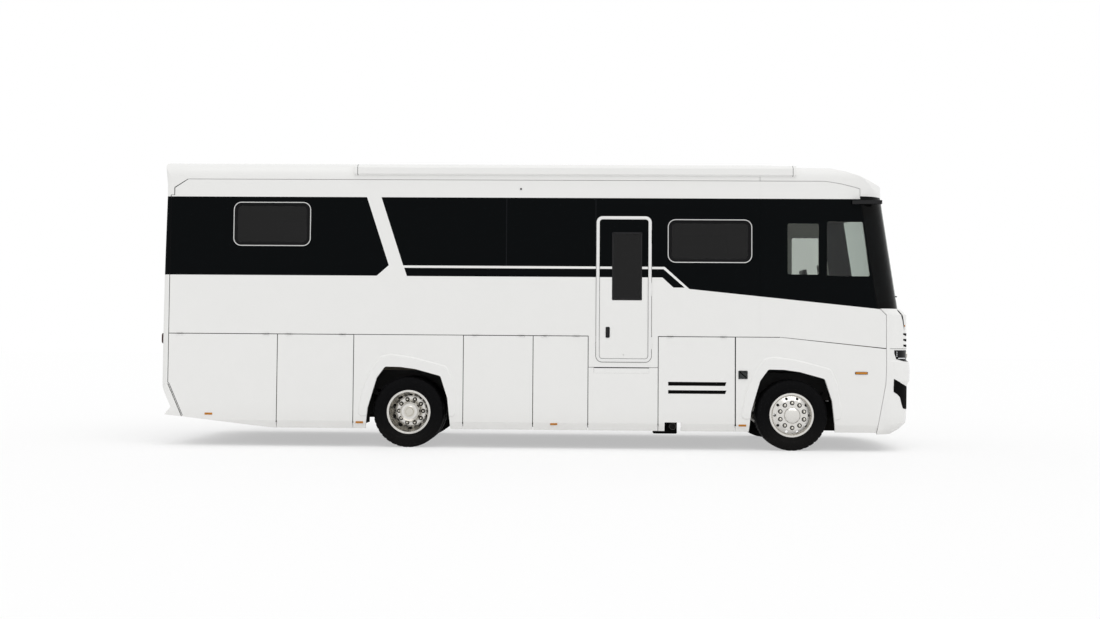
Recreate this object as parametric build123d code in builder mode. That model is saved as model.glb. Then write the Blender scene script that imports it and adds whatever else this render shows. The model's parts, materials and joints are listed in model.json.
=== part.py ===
from build123d import *
import os
from math import cos, radians, sin, sqrt

os.makedirs("parts", exist_ok=True)

# Frame: +X forward, +Y left, +Z up, ground at Z 0, origin under the middle of the vehicle.
# Stations along the vehicle are counted from the front axle, so every sketch plane below
# has its origin on that axle and its numbers read as "ahead of" or "behind" it.

# Driving dimensions
WHEELBASE = 5200
FRONT_OVERHANG = 1760
REAR_OVERHANG = 3430
BODY_WIDTH = 2500
ROOF_TOP = 3895
TYRE_DIAMETER = 960
TYRE_WIDTH = 275
RIM_DIAMETER = 572
FLOOR_TOP = 1450
FLAP_TOP = 1537
SHOULDER = 238
SILL = 255
WALL = 42
SKIN = 36
SHELL = 40
SEAT_GAP = 0.3
SEAM = 6
FLAP_SEAM = 10
SKIRT_TUCK = 24
SKIRT_TUCK_H = 100

# Stations that follow from them
LENGTH = FRONT_OVERHANG + WHEELBASE + REAR_OVERHANG
AXLE_X = LENGTH / 2 - FRONT_OVERHANG
HALF = BODY_WIDTH / 2
WALL_TOP = ROOF_TOP - SHOULDER
# Cutting tools start and end this far from the middle
OUTSIDE = HALF + 50
HUB_Z = TYRE_DIAMETER / 2
REAR_AXLE = -WHEELBASE
REAR_FACE = REAR_AXLE - REAR_OVERHANG + 26
REAR_SEAM = REAR_FACE + 100
ROOF_REAR = REAR_SEAM + 237
CAB_SEAM = -436
SIDES = (-1, 1)


def side_plane(y):
    """Upright plane along the vehicle at y, seen from the right; extrusions go to -Y."""
    return Plane(origin=(AXLE_X, y, 0), x_dir=(1, 0, 0), z_dir=(0, -1, 0))


def panel_plane(side, thickness, depth=0):
    """Plane for a sheet of a thickness whose outer face lies depth inside the body's side."""
    return side_plane(HALF - depth if side > 0 else thickness + depth - HALF)


def cross_plane(station):
    """Upright plane across the vehicle at a station; x runs to +Y, extrusions go to +X."""
    return Plane(origin=(AXLE_X + station, 0, 0), x_dir=(0, 1, 0), z_dir=(1, 0, 0))


def level_plane(z):
    """Flat plane at a height, x forward from the front axle."""
    return Plane(origin=(AXLE_X, 0, z), x_dir=(1, 0, 0), z_dir=(0, 0, 1))


def hub_plane(station, y):
    """Upright plane along the vehicle through an axle's height; extrusions go to +Y."""
    return Plane(origin=(AXLE_X + station, y, HUB_Z), x_dir=(-1, 0, 0), z_dir=(0, 1, 0))


# Nose in plan: a shallow front arc that runs into the sides by two corner arcs
CORNER_R = 350
NOSE_R = 4500
NOSE_REACH = NOSE_R - sqrt((NOSE_R - CORNER_R) ** 2 - (HALF - CORNER_R) ** 2)
BUMPER_CORNER = FRONT_OVERHANG - NOSE_REACH
TAN_X = sqrt((NOSE_R - CORNER_R) ** 2 - (HALF - CORNER_R) ** 2) / (NOSE_R - CORNER_R)
TAN_Y = (HALF - CORNER_R) / (NOSE_R - CORNER_R)


def nose_outline(corner, inset, back):
    """Plan outline with its side-to-corner tangent at station corner, drawn in by inset."""
    y = HALF - inset
    r = CORNER_R - inset
    centre_y = HALF - CORNER_R
    tip_x = corner + r * TAN_X
    tip_y = centre_y + r * TAN_Y
    mid = radians(45)
    nose = corner + NOSE_REACH - inset
    Line((back, -y), (corner, -y))
    ThreePointArc(
        (corner, -y),
        (corner + r * cos(mid), -centre_y - r * sin(mid)),
        (tip_x, -tip_y),
    )
    ThreePointArc((tip_x, -tip_y), (nose, 0), (tip_x, tip_y))
    ThreePointArc(
        (tip_x, tip_y),
        (corner + r * cos(mid), centre_y + r * sin(mid)),
        (corner, y),
    )
    Line((corner, y), (back, y))
    Line((back, y), (back, -y))


# Height of the seam between the bumper with its lamps and the mask above
CHEEK_SEAM = 1386

# Side panels' shared seam lines, in the side plane: (station, height)
FRONT_SEAM = [
    (BUMPER_CORNER - 179, SILL),
    (BUMPER_CORNER - 119, 570),
    (BUMPER_CORNER - 55, 912),
    (BUMPER_CORNER - 45, 1108),
    (BUMPER_CORNER - 45, CHEEK_SEAM),
]
MASK_CORNER = BUMPER_CORNER - 45
MASK_TOP = 1930
MASK_CHAMFER = 82
GLASS_FOOT_CORNER = MASK_CORNER - 119
GLASS_FOOT = MASK_TOP + SEAT_GAP
GLASS_HEAD_CORNER = GLASS_FOOT_CORNER - 231
GLASS_HEAD = WALL_TOP - 206
# Back end of the solids that follow the nose
NOSE_BACK = BUMPER_CORNER - 411

# Wheel stations and openings
TRACK_HALF = HALF - 163
TWIN_SPACING = 310
ARCH = (
    (-584, SILL - 60),
    (-584, SILL),
    (-555, 536),
    (-434, 944),
    (-322, 1098),
    (-115, 1095),
    (96, 1067),
    (436, 975),
    (534, 675),
    (578, SILL),
    (578, SILL - 60),
)
ARCH_R = 42
# Raised flare round each arch
FLARE = (
    (-700, 420),
    (-640, 760),
    (-520, 1061),
    (-385, 1243),
    (-240, 1274),
    (35, 1236),
    (286, 1175),
    (520, 1112),
    (612, 900),
    (650, 640),
    (660, 420),
)
FLARE_T = 10

# Entry door's opening in the right side, and the step down of the wall round it
DOOR_REAR = -2658
DOOR_FRONT = -1897
DOOR_LOW = 1177
DOOR_HIGH = WALL_TOP - 486
DROP_REAR = -2755
DROP_FRONT = -1806
DROP_LOW = 1113

# Stations of the upright seams in the skirts
SEAM_TAIL = REAR_AXLE - 1801
SEAM_ARCH_REAR = REAR_AXLE - 753
SEAM_ARCH_FRONT = REAR_AXLE + 746
SEAM_DOOR_REAR = DROP_REAR - 2
SEAM_DOOR_FRONT = DROP_FRONT - 2
SEAM_MID = SEAM_DOOR_REAR - 748
SEAM_CAB = -767

# ---------------------------------------------------------------- chassis

RAIL_Y = 415
RAIL_W = 70
RAIL_LOW = 760
RAIL_HIGH = 1030
RAIL_REAR = REAR_SEAM + 260
RAIL_FRONT = BUMPER_CORNER - 161
TOW_Z = 620
TOW_R = 20
TOW_FRONT = RAIL_FRONT + 170
TOW_REAR = RAIL_REAR - 40
CROSS_STATIONS = (
    RAIL_REAR + 60,
    REAR_AXLE - 1400,
    REAR_AXLE - 450,
    REAR_AXLE + 450,
    -3600,
    -2500,
    -1400,
    RAIL_FRONT - 60,
)
with BuildPart() as chassis_frame:
    for side in SIDES:
        with BuildSketch(Plane.XY.offset(RAIL_LOW)):
            with Locations((AXLE_X + (RAIL_REAR + RAIL_FRONT) / 2, side * RAIL_Y)):
                Rectangle(RAIL_FRONT - RAIL_REAR, RAIL_W)
        extrude(amount=RAIL_HIGH - RAIL_LOW)
    for station in CROSS_STATIONS:
        with BuildSketch(Plane.XY.offset(RAIL_LOW + 60)):
            with Locations((AXLE_X + station, 0)):
                Rectangle(90, 2 * RAIL_Y)
        extrude(amount=150)
    # Lug for towing at the rear, hung from the last cross member
    with BuildSketch(side_plane(30)):
        with BuildLine():
            Polyline(
                (RAIL_REAR + 90, RAIL_LOW + 80),
                (RAIL_REAR + 90, TOW_Z - 20),
                (TOW_REAR - 50, TOW_Z - 20),
                (TOW_REAR - 50, TOW_Z + 20),
                (TOW_REAR + 40, TOW_Z + 20),
                (RAIL_REAR + 30, TOW_Z + 60),
                (RAIL_REAR + 30, RAIL_LOW + 80),
                close=True,
            )
        make_face()
    extrude(amount=60)
    with BuildSketch(level_plane(TOW_Z - 30)):
        with Locations((TOW_REAR, 0)):
            Circle(TOW_R)
    extrude(amount=200, mode=Mode.SUBTRACT)
chassis_frame.part.label = "chassis_frame"
export_step(chassis_frame.part, "parts/chassis_frame.step")

# Engine block with gearbox and propeller shaft, hung between the rails
ENGINE_W = 640
ENGINE_REAR = -560
ENGINE_FRONT = 760
GEARBOX_L = 640
SHAFT_Z = 640
DIFF_FRONT = 210
with BuildPart() as engine:
    with BuildSketch(Plane.XY.offset(RAIL_LOW - 120)):
        with Locations((AXLE_X + (ENGINE_REAR + ENGINE_FRONT) / 2, 0)):
            Rectangle(ENGINE_FRONT - ENGINE_REAR, ENGINE_W)
    extrude(amount=680)
    with BuildSketch(Plane.YZ.offset(AXLE_X + ENGINE_REAR - GEARBOX_L)):
        with Locations((0, RAIL_LOW + 60)):
            Rectangle(360, 380)
    extrude(amount=GEARBOX_L)
    with BuildSketch(Plane.YZ.offset(AXLE_X + REAR_AXLE + DIFF_FRONT + SEAT_GAP)):
        with Locations((0, SHAFT_Z)):
            Circle(55)
    extrude(amount=ENGINE_REAR - GEARBOX_L - REAR_AXLE - DIFF_FRONT - SEAT_GAP)
    # Brackets to the rails
    with BuildSketch(Plane.XY.offset(RAIL_LOW + 70)):
        with Locations((AXLE_X + ENGINE_REAR + 150, 0), (AXLE_X + ENGINE_FRONT - 150, 0)):
            Rectangle(120, 2 * RAIL_Y - RAIL_W - 2 * SEAT_GAP)
    extrude(amount=90)
engine.part.label = "engine"
export_step(engine.part, "parts/engine.step")

# ---------------------------------------------------------------- front axle and steering

KINGPIN_Y = TRACK_HALF - 187
UPRIGHT_Y = KINGPIN_Y + 72
UPRIGHT_T = 24
STUB_LENGTH = 166
KINGPIN_R = 20
ARM_REACH = 200
LUG_LOW = (HUB_Z - 100, HUB_Z - 72)
LUG_HIGH = (HUB_Z + 72, HUB_Z + 100)
HUB_BORE = 40
with BuildPart() as front_axle:
    with BuildSketch(Plane.XY.offset(HUB_Z - 60)):
        with Locations((AXLE_X, 0)):
            Rectangle(90, 2 * KINGPIN_Y - 60)
    extrude(amount=120)
    with BuildSketch(Plane.XY.offset(HUB_Z - 66)):
        with Locations((AXLE_X, -KINGPIN_Y), (AXLE_X, KINGPIN_Y)):
            Circle(44)
    extrude(amount=132)
    with BuildSketch(Plane.XY.offset(HUB_Z - 70)):
        with Locations((AXLE_X, -KINGPIN_Y), (AXLE_X, KINGPIN_Y)):
            Circle(KINGPIN_R + SEAT_GAP)
    extrude(amount=140, mode=Mode.SUBTRACT)
front_axle.part.label = "front_axle"
export_step(front_axle.part, "parts/front_axle.step")

for side, name in ((1, "knuckle_left"), (-1, "knuckle_right")):
    with BuildPart() as knuckle:
        with BuildSketch(Plane.XY.offset(LUG_LOW[0])):
            with Locations((AXLE_X, side * UPRIGHT_Y)):
                Rectangle(130, UPRIGHT_T)
        extrude(amount=LUG_HIGH[1] - LUG_LOW[0])
        for low, high in (LUG_LOW, LUG_HIGH):
            with BuildSketch(Plane.XY.offset(low)):
                with Locations((AXLE_X, side * (KINGPIN_Y + 40))):
                    Rectangle(80, 84)
                with Locations((AXLE_X, side * KINGPIN_Y)):
                    Circle(40)
            extrude(amount=high - low)
        with BuildSketch(Plane.XY.offset(LUG_LOW[0])):
            with Locations((AXLE_X, side * KINGPIN_Y)):
                Circle(KINGPIN_R)
        extrude(amount=LUG_HIGH[1] - LUG_LOW[0])
        with BuildSketch(Plane.XY.offset(LUG_LOW[0])):
            with Locations((AXLE_X - ARM_REACH / 2, side * KINGPIN_Y)):
                Rectangle(ARM_REACH, 44)
            with Locations((AXLE_X - ARM_REACH, side * KINGPIN_Y)):
                Circle(28)
        extrude(amount=20)
        with BuildSketch(Plane.XY.offset(LUG_LOW[0] - 36)):
            with Locations((AXLE_X - ARM_REACH, side * KINGPIN_Y)):
                Circle(12)
        extrude(amount=36)
        with BuildSketch(Plane.XZ.offset(-side * (UPRIGHT_Y + UPRIGHT_T / 2))):
            with Locations((AXLE_X, HUB_Z)):
                Circle(HUB_BORE)
        extrude(amount=-side * STUB_LENGTH)
    knuckle.part.label = name
    export_step(knuckle.part, f"parts/{name}.step")

with BuildPart() as track_rod:
    with BuildSketch(Plane.XY.offset(LUG_LOW[0] - 32)):
        with Locations((AXLE_X - ARM_REACH, -KINGPIN_Y), (AXLE_X - ARM_REACH, KINGPIN_Y)):
            Circle(28)
        with Locations((AXLE_X - ARM_REACH, 0)):
            Rectangle(30, 2 * KINGPIN_Y)
        with Locations((AXLE_X - ARM_REACH, -KINGPIN_Y), (AXLE_X - ARM_REACH, KINGPIN_Y)):
            Circle(12 + SEAT_GAP, mode=Mode.SUBTRACT)
    extrude(amount=26)
track_rod.part.label = "track_rod"
export_step(track_rod.part, "parts/track_rod.step")

# ---------------------------------------------------------------- rear axle and springs

AXLE_TUBE = TRACK_HALF - 467
REAR_STUB = TRACK_HALF - 187
with BuildPart() as rear_axle:
    with BuildSketch(Plane.XZ.offset(-AXLE_TUBE)):
        with Locations((AXLE_X + REAR_AXLE, HUB_Z)):
            Circle(82)
    extrude(amount=2 * AXLE_TUBE)
    with BuildSketch(Plane.XZ.offset(-REAR_STUB)):
        with Locations((AXLE_X + REAR_AXLE, HUB_Z)):
            Circle(HUB_BORE)
    extrude(amount=2 * REAR_STUB)
    with BuildSketch(Plane.YZ.offset(AXLE_X + REAR_AXLE - 190)):
        with Locations((0, HUB_Z)):
            Circle(205)
    extrude(amount=190 + DIFF_FRONT)
rear_axle.part.label = "rear_axle"
export_step(rear_axle.part, "parts/rear_axle.step")

# Leaf packs between axle and rail, one at each end of each axle
LEAF_LENGTH = 1300
with BuildPart() as springs:
    for station, seat_z in ((0, HUB_Z + 60), (REAR_AXLE, HUB_Z + 82)):
        for side in SIDES:
            with BuildSketch(side_plane(side * RAIL_Y + 35)):
                with BuildLine():
                    Polyline(
                        (station - 50, seat_z + SEAT_GAP),
                        (station + 50, seat_z + SEAT_GAP),
                        (station + LEAF_LENGTH / 2, RAIL_LOW - 70),
                        (station + LEAF_LENGTH / 2, RAIL_LOW - SEAT_GAP),
                        (station + LEAF_LENGTH / 2 - 60, RAIL_LOW - SEAT_GAP),
                        (station + LEAF_LENGTH / 2 - 90, RAIL_LOW - 50),
                        (station + 60, seat_z + 80),
                        (station - 60, seat_z + 80),
                        (station - LEAF_LENGTH / 2 + 90, RAIL_LOW - 50),
                        (station - LEAF_LENGTH / 2 + 60, RAIL_LOW - SEAT_GAP),
                        (station - LEAF_LENGTH / 2, RAIL_LOW - SEAT_GAP),
                        (station - LEAF_LENGTH / 2, RAIL_LOW - 70),
                        close=True,
                    )
                make_face()
            extrude(amount=70)
springs.part.label = "springs"
export_step(springs.part, "parts/springs.step")

# ---------------------------------------------------------------- wheels

TYRE_R = TYRE_DIAMETER / 2
RIM_R = RIM_DIAMETER / 2
FLANGE_R = RIM_R + 12
RIM_HALF = 107


def tyre_outline(y):
    """Half section of a tyre centred on y, in the plane of the wheel's axis."""
    w = TYRE_WIDTH / 2
    Polyline(
        (y - 96, RIM_R + SEAT_GAP),
        (y - 96, RIM_R + 14),
        (y - 112, RIM_R + 20),
        (y - w, RIM_R + 90),
        (y - w, TYRE_R - 62),
        (y - w + 14, TYRE_R - 18),
        (y - w + 34, TYRE_R),
        (y + w - 34, TYRE_R),
        (y + w - 14, TYRE_R - 18),
        (y + w, TYRE_R - 62),
        (y + w, RIM_R + 90),
        (y + 112, RIM_R + 20),
        (y + 96, RIM_R + 14),
        (y + 96, RIM_R + SEAT_GAP),
        close=True,
    )


def wheel_plane(station):
    """Plane through a wheel's axis: x runs outwards from the centre line, y is the radius."""
    return Plane(origin=(AXLE_X + station, 0, HUB_Z), x_dir=(0, 1, 0), z_dir=(1, 0, 0))


def wheel_axis(station):
    """The axis that a wheel turns on."""
    return Axis((AXLE_X + station, 0, HUB_Z), (0, 1, 0))


WHEEL_ROWS = (
    # name, station, side, centres of its tyres
    ("front_left", 0, 1, (TRACK_HALF,)),
    ("front_right", 0, -1, (TRACK_HALF,)),
    ("rear_left", REAR_AXLE, 1, (TRACK_HALF, TRACK_HALF - TWIN_SPACING)),
    ("rear_right", REAR_AXLE, -1, (TRACK_HALF, TRACK_HALF - TWIN_SPACING)),
)
for name, station, side, centres in WHEEL_ROWS:
    with BuildPart() as tyre:
        for centre in centres:
            with BuildSketch(wheel_plane(station)):
                with BuildLine():
                    tyre_outline(side * centre)
                make_face()
            revolve(axis=wheel_axis(station))
    tyre.part.label = f"tyre_{name}"
    export_step(tyre.part, f"parts/tyre_{name}.step")

HAND_HOLE_R = 232
HAND_HOLES = 10
DISC = 14
for name, station, side, centres in WHEEL_ROWS:
    outer = centres[0]
    inner = centres[-1]
    twin = len(centres) > 1
    disc_y = outer - 155 if twin else outer + 143
    hub_end = disc_y + 196 if twin else disc_y + 32
    hub_start = REAR_STUB - 184 if twin else UPRIGHT_Y + UPRIGHT_T / 2 + 22
    stub_end = REAR_STUB if twin else UPRIGHT_Y + UPRIGHT_T / 2 + STUB_LENGTH
    hub_r = 131 if twin else 107
    with BuildPart() as rim:
        with BuildSketch(wheel_plane(station)):
            with BuildLine():
                Polyline(
                    (side * (inner - RIM_HALF), RIM_R - 14),
                    (side * (inner - RIM_HALF), FLANGE_R),
                    (side * (inner - RIM_HALF + 10), FLANGE_R),
                    (side * (inner - RIM_HALF + 10), RIM_R),
                    (side * (outer + RIM_HALF - 10), RIM_R),
                    (side * (outer + RIM_HALF - 10), FLANGE_R),
                    (side * (outer + RIM_HALF), FLANGE_R),
                    (side * (outer + RIM_HALF), RIM_R - 14),
                    close=True,
                )
            make_face()
            with BuildLine():
                Polyline(
                    (side * (disc_y - DISC), 0),
                    (side * (disc_y - DISC), 200),
                    (side * (disc_y - DISC - (0 if twin else 60)), RIM_R - 6),
                    (side * (disc_y - (0 if twin else 60)), RIM_R - 6),
                    (side * disc_y, 200),
                    (side * disc_y, 0),
                    close=True,
                )
            make_face()
            with BuildLine():
                Polyline(
                    (side * hub_start, 0),
                    (side * hub_start, 100),
                    (side * (disc_y - DISC), 100),
                    (side * (disc_y - DISC), hub_r),
                    (side * (hub_end - 20), hub_r),
                    (side * hub_end, hub_r - 24),
                    (side * hub_end, 0),
                    close=True,
                )
            make_face()
        revolve(axis=wheel_axis(station))
        with BuildSketch(hub_plane(station, side * (hub_start - 10))):
            Circle(HUB_BORE + SEAT_GAP)
        extrude(amount=side * (stub_end + 5 - hub_start + 10), mode=Mode.SUBTRACT)
        with BuildSketch(hub_plane(station, side * (disc_y - 80))):
            with PolarLocations(HAND_HOLE_R, HAND_HOLES):
                Circle(19)
        extrude(amount=side * 110, mode=Mode.SUBTRACT)
    rim.part.label = f"rim_{name}"
    export_step(rim.part, f"parts/rim_{name}.step")

# ---------------------------------------------------------------- floor and lockers

FLOOR_T = 42
FLOOR_FRONT = BUMPER_CORNER - 171
FLOOR_HALF = HALF - WALL - SEAT_GAP
with BuildPart() as cabin_floor:
    with BuildSketch(Plane.XY.offset(FLOOR_TOP - FLOOR_T)):
        with Locations((AXLE_X + (REAR_SEAM + 10 + FLOOR_FRONT) / 2, 0)):
            Rectangle(FLOOR_FRONT - REAR_SEAM - 10, 2 * FLOOR_HALF)
    extrude(amount=FLOOR_T)
    # Bearers that carry the floor on the chassis rails
    for side in SIDES:
        with BuildSketch(Plane.XY.offset(RAIL_HIGH + SEAT_GAP)):
            with Locations((AXLE_X + (RAIL_REAR + ENGINE_REAR) / 2, side * RAIL_Y)):
                Rectangle(ENGINE_REAR - RAIL_REAR, RAIL_W)
        extrude(amount=FLOOR_TOP - FLOOR_T - RAIL_HIGH - SEAT_GAP)
    # Stair well inside the entry door
    with BuildSketch(Plane.XY.offset(FLOOR_TOP - FLOOR_T)):
        with Locations((AXLE_X + (DOOR_REAR + DOOR_FRONT) / 2, -HALF + WALL + 300)):
            Rectangle(720, 620)
    extrude(amount=FLOOR_T, mode=Mode.SUBTRACT)
cabin_floor.part.label = "cabin_floor"
export_step(cabin_floor.part, "parts/cabin_floor.step")

TRAY_Z = 290
OVERHANG_TRAY_Z = 470
BAYS = {
    # rear station, front station, tray height of each closed run of lockers
    -1: (
        (ROOF_REAR - 13, SEAM_TAIL - 8, OVERHANG_TRAY_Z),
        (SEAM_TAIL - 8, REAR_AXLE - 660, TRAY_Z),
        (REAR_AXLE + 620, SEAM_DOOR_FRONT - 12, TRAY_Z),
    ),
    1: (
        (ROOF_REAR - 13, SEAM_TAIL - 8, OVERHANG_TRAY_Z),
        (SEAM_TAIL - 8, REAR_AXLE - 660, TRAY_Z),
        (REAR_AXLE + 620, SEAM_CAB + 27, TRAY_Z),
    ),
}
STEP_Z = 1044
STEP_T = 36
STEP_X = (DROP_REAR + DROP_FRONT) / 2 - 25
STEP_W = 700
SHELF_IN = 560
TRAY_T = 16
TRAY_INNER = RAIL_Y + RAIL_W / 2 + 25
TRAY_OUTER = HALF - SKIN - SKIRT_TUCK - 14
PANEL_BACK = HALF - SKIN - SEAT_GAP
STEP_BAY = (SEAM_DOOR_REAR + 20, SEAM_DOOR_FRONT - 20)
BULKHEADS = {
    -1: (SEAM_MID, *STEP_BAY, SEAM_CAB + 19),
    1: (SEAM_TAIL + 20, SEAM_ARCH_REAR - 20, SEAM_MID, *STEP_BAY),
}
# Bulkheads that reach out to carry a fixed skirt panel
CARRIERS = {
    -1: (REAR_AXLE - 668, REAR_AXLE + 628, *STEP_BAY, SEAM_CAB + 19),
    1: (
        SEAM_TAIL + 20,
        SEAM_ARCH_REAR - 20,
        REAR_AXLE - 668,
        REAR_AXLE + 628,
        *STEP_BAY,
        SEAM_CAB + 19,
    ),
}
for side, name in ((-1, "lockers_right"), (1, "lockers_left")):
    with BuildPart() as lockers:
        mid_y = side * (TRAY_INNER + TRAY_OUTER) / 2
        for rear, front, tray_z in BAYS[side]:
            with BuildSketch(Plane.XY.offset(tray_z)):
                with Locations((AXLE_X + (rear + front) / 2, mid_y)):
                    Rectangle(front - rear, TRAY_OUTER - TRAY_INNER)
            extrude(amount=TRAY_T)
            with BuildSketch(Plane.XY.offset(tray_z)):
                with Locations((AXLE_X + (rear + front) / 2, side * (TRAY_INNER + 8))):
                    Rectangle(front - rear, 16)
                with Locations((AXLE_X + rear + 8, mid_y), (AXLE_X + front - 8, mid_y)):
                    Rectangle(16, TRAY_OUTER - TRAY_INNER)
            extrude(amount=FLOOR_TOP - FLOOR_T - SEAT_GAP - tray_z)
        with BuildSketch(Plane.XY.offset(TRAY_Z)):
            with Locations([(AXLE_X + x, mid_y) for x in BULKHEADS[side]]):
                Rectangle(16, TRAY_OUTER - TRAY_INNER)
        extrude(amount=FLOOR_TOP - FLOOR_T - SEAT_GAP - TRAY_Z)
        with BuildSketch(Plane.XY.offset(SILL + SKIRT_TUCK_H + 10)):
            carrier_y = side * (TRAY_OUTER - 20 + PANEL_BACK) / 2
            with Locations([(AXLE_X + x, carrier_y) for x in CARRIERS[side]]):
                Rectangle(16, PANEL_BACK - TRAY_OUTER + 20)
        extrude(amount=DROP_LOW - SEAM - 20 - SILL - SKIRT_TUCK_H)
        if side < 0:
            # Shelf that the entry step slides on, and the landing inside the door
            for low, thick in (
                (STEP_Z - 16, 16 - SEAT_GAP),
                (STEP_Z + STEP_T + 30, 20),
            ):
                with BuildSketch(Plane.XY.offset(low)):
                    with Locations((AXLE_X + sum(STEP_BAY) / 2, -(TRAY_OUTER + SHELF_IN) / 2)):
                        Rectangle(STEP_BAY[1] - STEP_BAY[0], TRAY_OUTER - SHELF_IN)
                extrude(amount=thick)
    lockers.part.label = name
    export_step(lockers.part, f"parts/{name}.step")

# Silencer on the right rail behind the louvred flap, its tailpipe turned to the side
PIPE_X = -1608
PIPE_R = 45
PIPE_Z = 318
PIPE_Y = HALF - 160
SILENCER_W = PANEL_BACK - 60 - RAIL_Y - RAIL_W / 2
with BuildPart() as exhaust:
    with BuildSketch(Plane.XY.offset(450)):
        with Locations(
            (AXLE_X - 1270, -(RAIL_Y + RAIL_W / 2 + SEAT_GAP + SILENCER_W / 2))
        ):
            Rectangle(840, SILENCER_W)
    extrude(amount=500)
    with BuildSketch(Plane.XY.offset(PIPE_Z)):
        with Locations((AXLE_X + PIPE_X, -PIPE_Y)):
            Circle(PIPE_R)
    extrude(amount=200)
    with BuildSketch(Plane.XZ.offset(PIPE_Y)):
        with Locations((AXLE_X + PIPE_X, PIPE_Z)):
            Circle(PIPE_R)
    extrude(amount=130)
    with Locations((AXLE_X + PIPE_X, -PIPE_Y, PIPE_Z)):
        Sphere(PIPE_R)
    with BuildSketch(Plane.XZ.offset(PIPE_Y + 20)):
        with Locations((AXLE_X + PIPE_X, PIPE_Z)):
            Circle(PIPE_R - 4)
    extrude(amount=130, mode=Mode.SUBTRACT)
exhaust.part.label = "exhaust"
export_step(exhaust.part, "parts/exhaust.step")

# ---------------------------------------------------------------- side walls

WINDOW_ROWS = (
    # centre station, centre height, width, height of each living window's opening
    (REAR_AXLE - 1897, WALL_TOP - 618, 1068, 607),
    (-1113, WALL_TOP - 825, 1145, 594),
)
WINDOW_R = 108


def wall_outline(side):
    """Outline of a living-area wall in the side plane."""
    points = [
        (REAR_SEAM + SEAM, FLAP_TOP),
        (REAR_SEAM + SEAM, WALL_TOP - 219 - SEAM),
        (REAR_SEAM + 56, WALL_TOP - 219 - SEAM),
        (REAR_SEAM + 56, WALL_TOP - 119 - SEAM),
        (ROOF_REAR, WALL_TOP - SEAM),
        (CAB_SEAM - SEAM / 2, WALL_TOP - SEAM),
        (CAB_SEAM - SEAM / 2, FLAP_TOP),
    ]
    if side < 0:
        points += [
            (DROP_FRONT, FLAP_TOP),
            (DROP_FRONT, DROP_LOW),
            (DROP_REAR, DROP_LOW),
            (DROP_REAR, FLAP_TOP),
        ]
    Polyline(*points, close=True)


for side, name in ((-1, "wall_right"), (1, "wall_left")):
    with BuildPart() as wall:
        with BuildSketch(panel_plane(side, WALL)):
            with BuildLine():
                wall_outline(side)
            make_face()
            for x, z, w, h in WINDOW_ROWS:
                with Locations((x, z)):
                    RectangleRounded(w, h, WINDOW_R, mode=Mode.SUBTRACT)
            if side < 0:
                with Locations(((DOOR_REAR + DOOR_FRONT) / 2, (DOOR_LOW + DOOR_HIGH) / 2)):
                    RectangleRounded(
                        DOOR_FRONT - DOOR_REAR, DOOR_HIGH - DOOR_LOW, 90, mode=Mode.SUBTRACT
                    )
        extrude(amount=WALL)
    wall.part.label = name
    export_step(wall.part, f"parts/{name}.step")

PANE_ROWS = (
    # corners of each cab pane in the side plane
    (
        (-64, WALL_TOP - 1272),
        (359, WALL_TOP - 1272),
        (359, WALL_TOP - 580),
        (-64, WALL_TOP - 580),
    ),
    (
        (466, WALL_TOP - 1291),
        (GLASS_FOOT_CORNER - 99, WALL_TOP - 1291),
        (GLASS_FOOT_CORNER - 195, WALL_TOP - 553),
        (466, WALL_TOP - 553),
    ),
)


def cab_head(gap):
    """Rows of the seam that falls from the wall's top to the corner of the cab."""
    return [
        (GLASS_HEAD_CORNER - 462, WALL_TOP - gap),
        (GLASS_HEAD_CORNER - 256, WALL_TOP - 35 - gap),
        (GLASS_HEAD_CORNER - 50 - gap / 2, WALL_TOP - 86 - gap),
        (GLASS_HEAD_CORNER - gap, WALL_TOP - 103 - gap),
    ]


for side, name in ((-1, "cab_side_right"), (1, "cab_side_left")):
    with BuildPart() as cab_side:
        with BuildSketch(panel_plane(side, WALL)):
            with BuildLine():
                Polyline(
                    (CAB_SEAM + SEAM / 2, FLAP_TOP),
                    (CAB_SEAM + SEAM / 2, WALL_TOP - SEAM),
                    *cab_head(SEAM),
                    (GLASS_HEAD_CORNER - SEAM, GLASS_HEAD - SEAM),
                    (GLASS_FOOT_CORNER - SEAM, GLASS_FOOT - SEAM),
                    (MASK_CORNER - MASK_CHAMFER - SEAM, MASK_TOP - SEAM),
                    (MASK_CORNER - SEAM, MASK_TOP - MASK_CHAMFER - SEAM),
                    (MASK_CORNER - SEAM, CHEEK_SEAM + 5 + SEAM),
                    (-166, FLAP_TOP),
                    close=True,
                )
            make_face()
            for corners in PANE_ROWS:
                with BuildLine():
                    FilletPolyline(*corners, radius=25, close=True)
                make_face(mode=Mode.SUBTRACT)
        extrude(amount=WALL)
    cab_side.part.label = name
    export_step(cab_side.part, f"parts/{name}.step")

GLASS = 12
PANE_DEPTH = 4
with BuildPart() as side_windows:
    for side in SIDES:
        with BuildSketch(panel_plane(side, GLASS, PANE_DEPTH)):
            for x, z, w, h in WINDOW_ROWS:
                with Locations((x, z)):
                    RectangleRounded(w - 2 * SEAT_GAP, h - 2 * SEAT_GAP, WINDOW_R)
            for corners in PANE_ROWS:
                with BuildLine():
                    FilletPolyline(*corners, radius=25, close=True)
                make_face()
        extrude(amount=GLASS)
side_windows.part.label = "side_windows"
export_step(side_windows.part, "parts/side_windows.step")

# ---------------------------------------------------------------- entry door and step

# Hinges: a fixed knuckle with a pin between two knuckles of what it carries
HINGE_R = 5
PIN_R = 2.5
KNUCKLE = 30
LEAF_T = 3
LEAF_H = 26
HINGE_Y = HALF + HINGE_R
HINGE_Z = FLAP_TOP - FLAP_SEAM / 2
HINGE_INSET = 160


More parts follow.
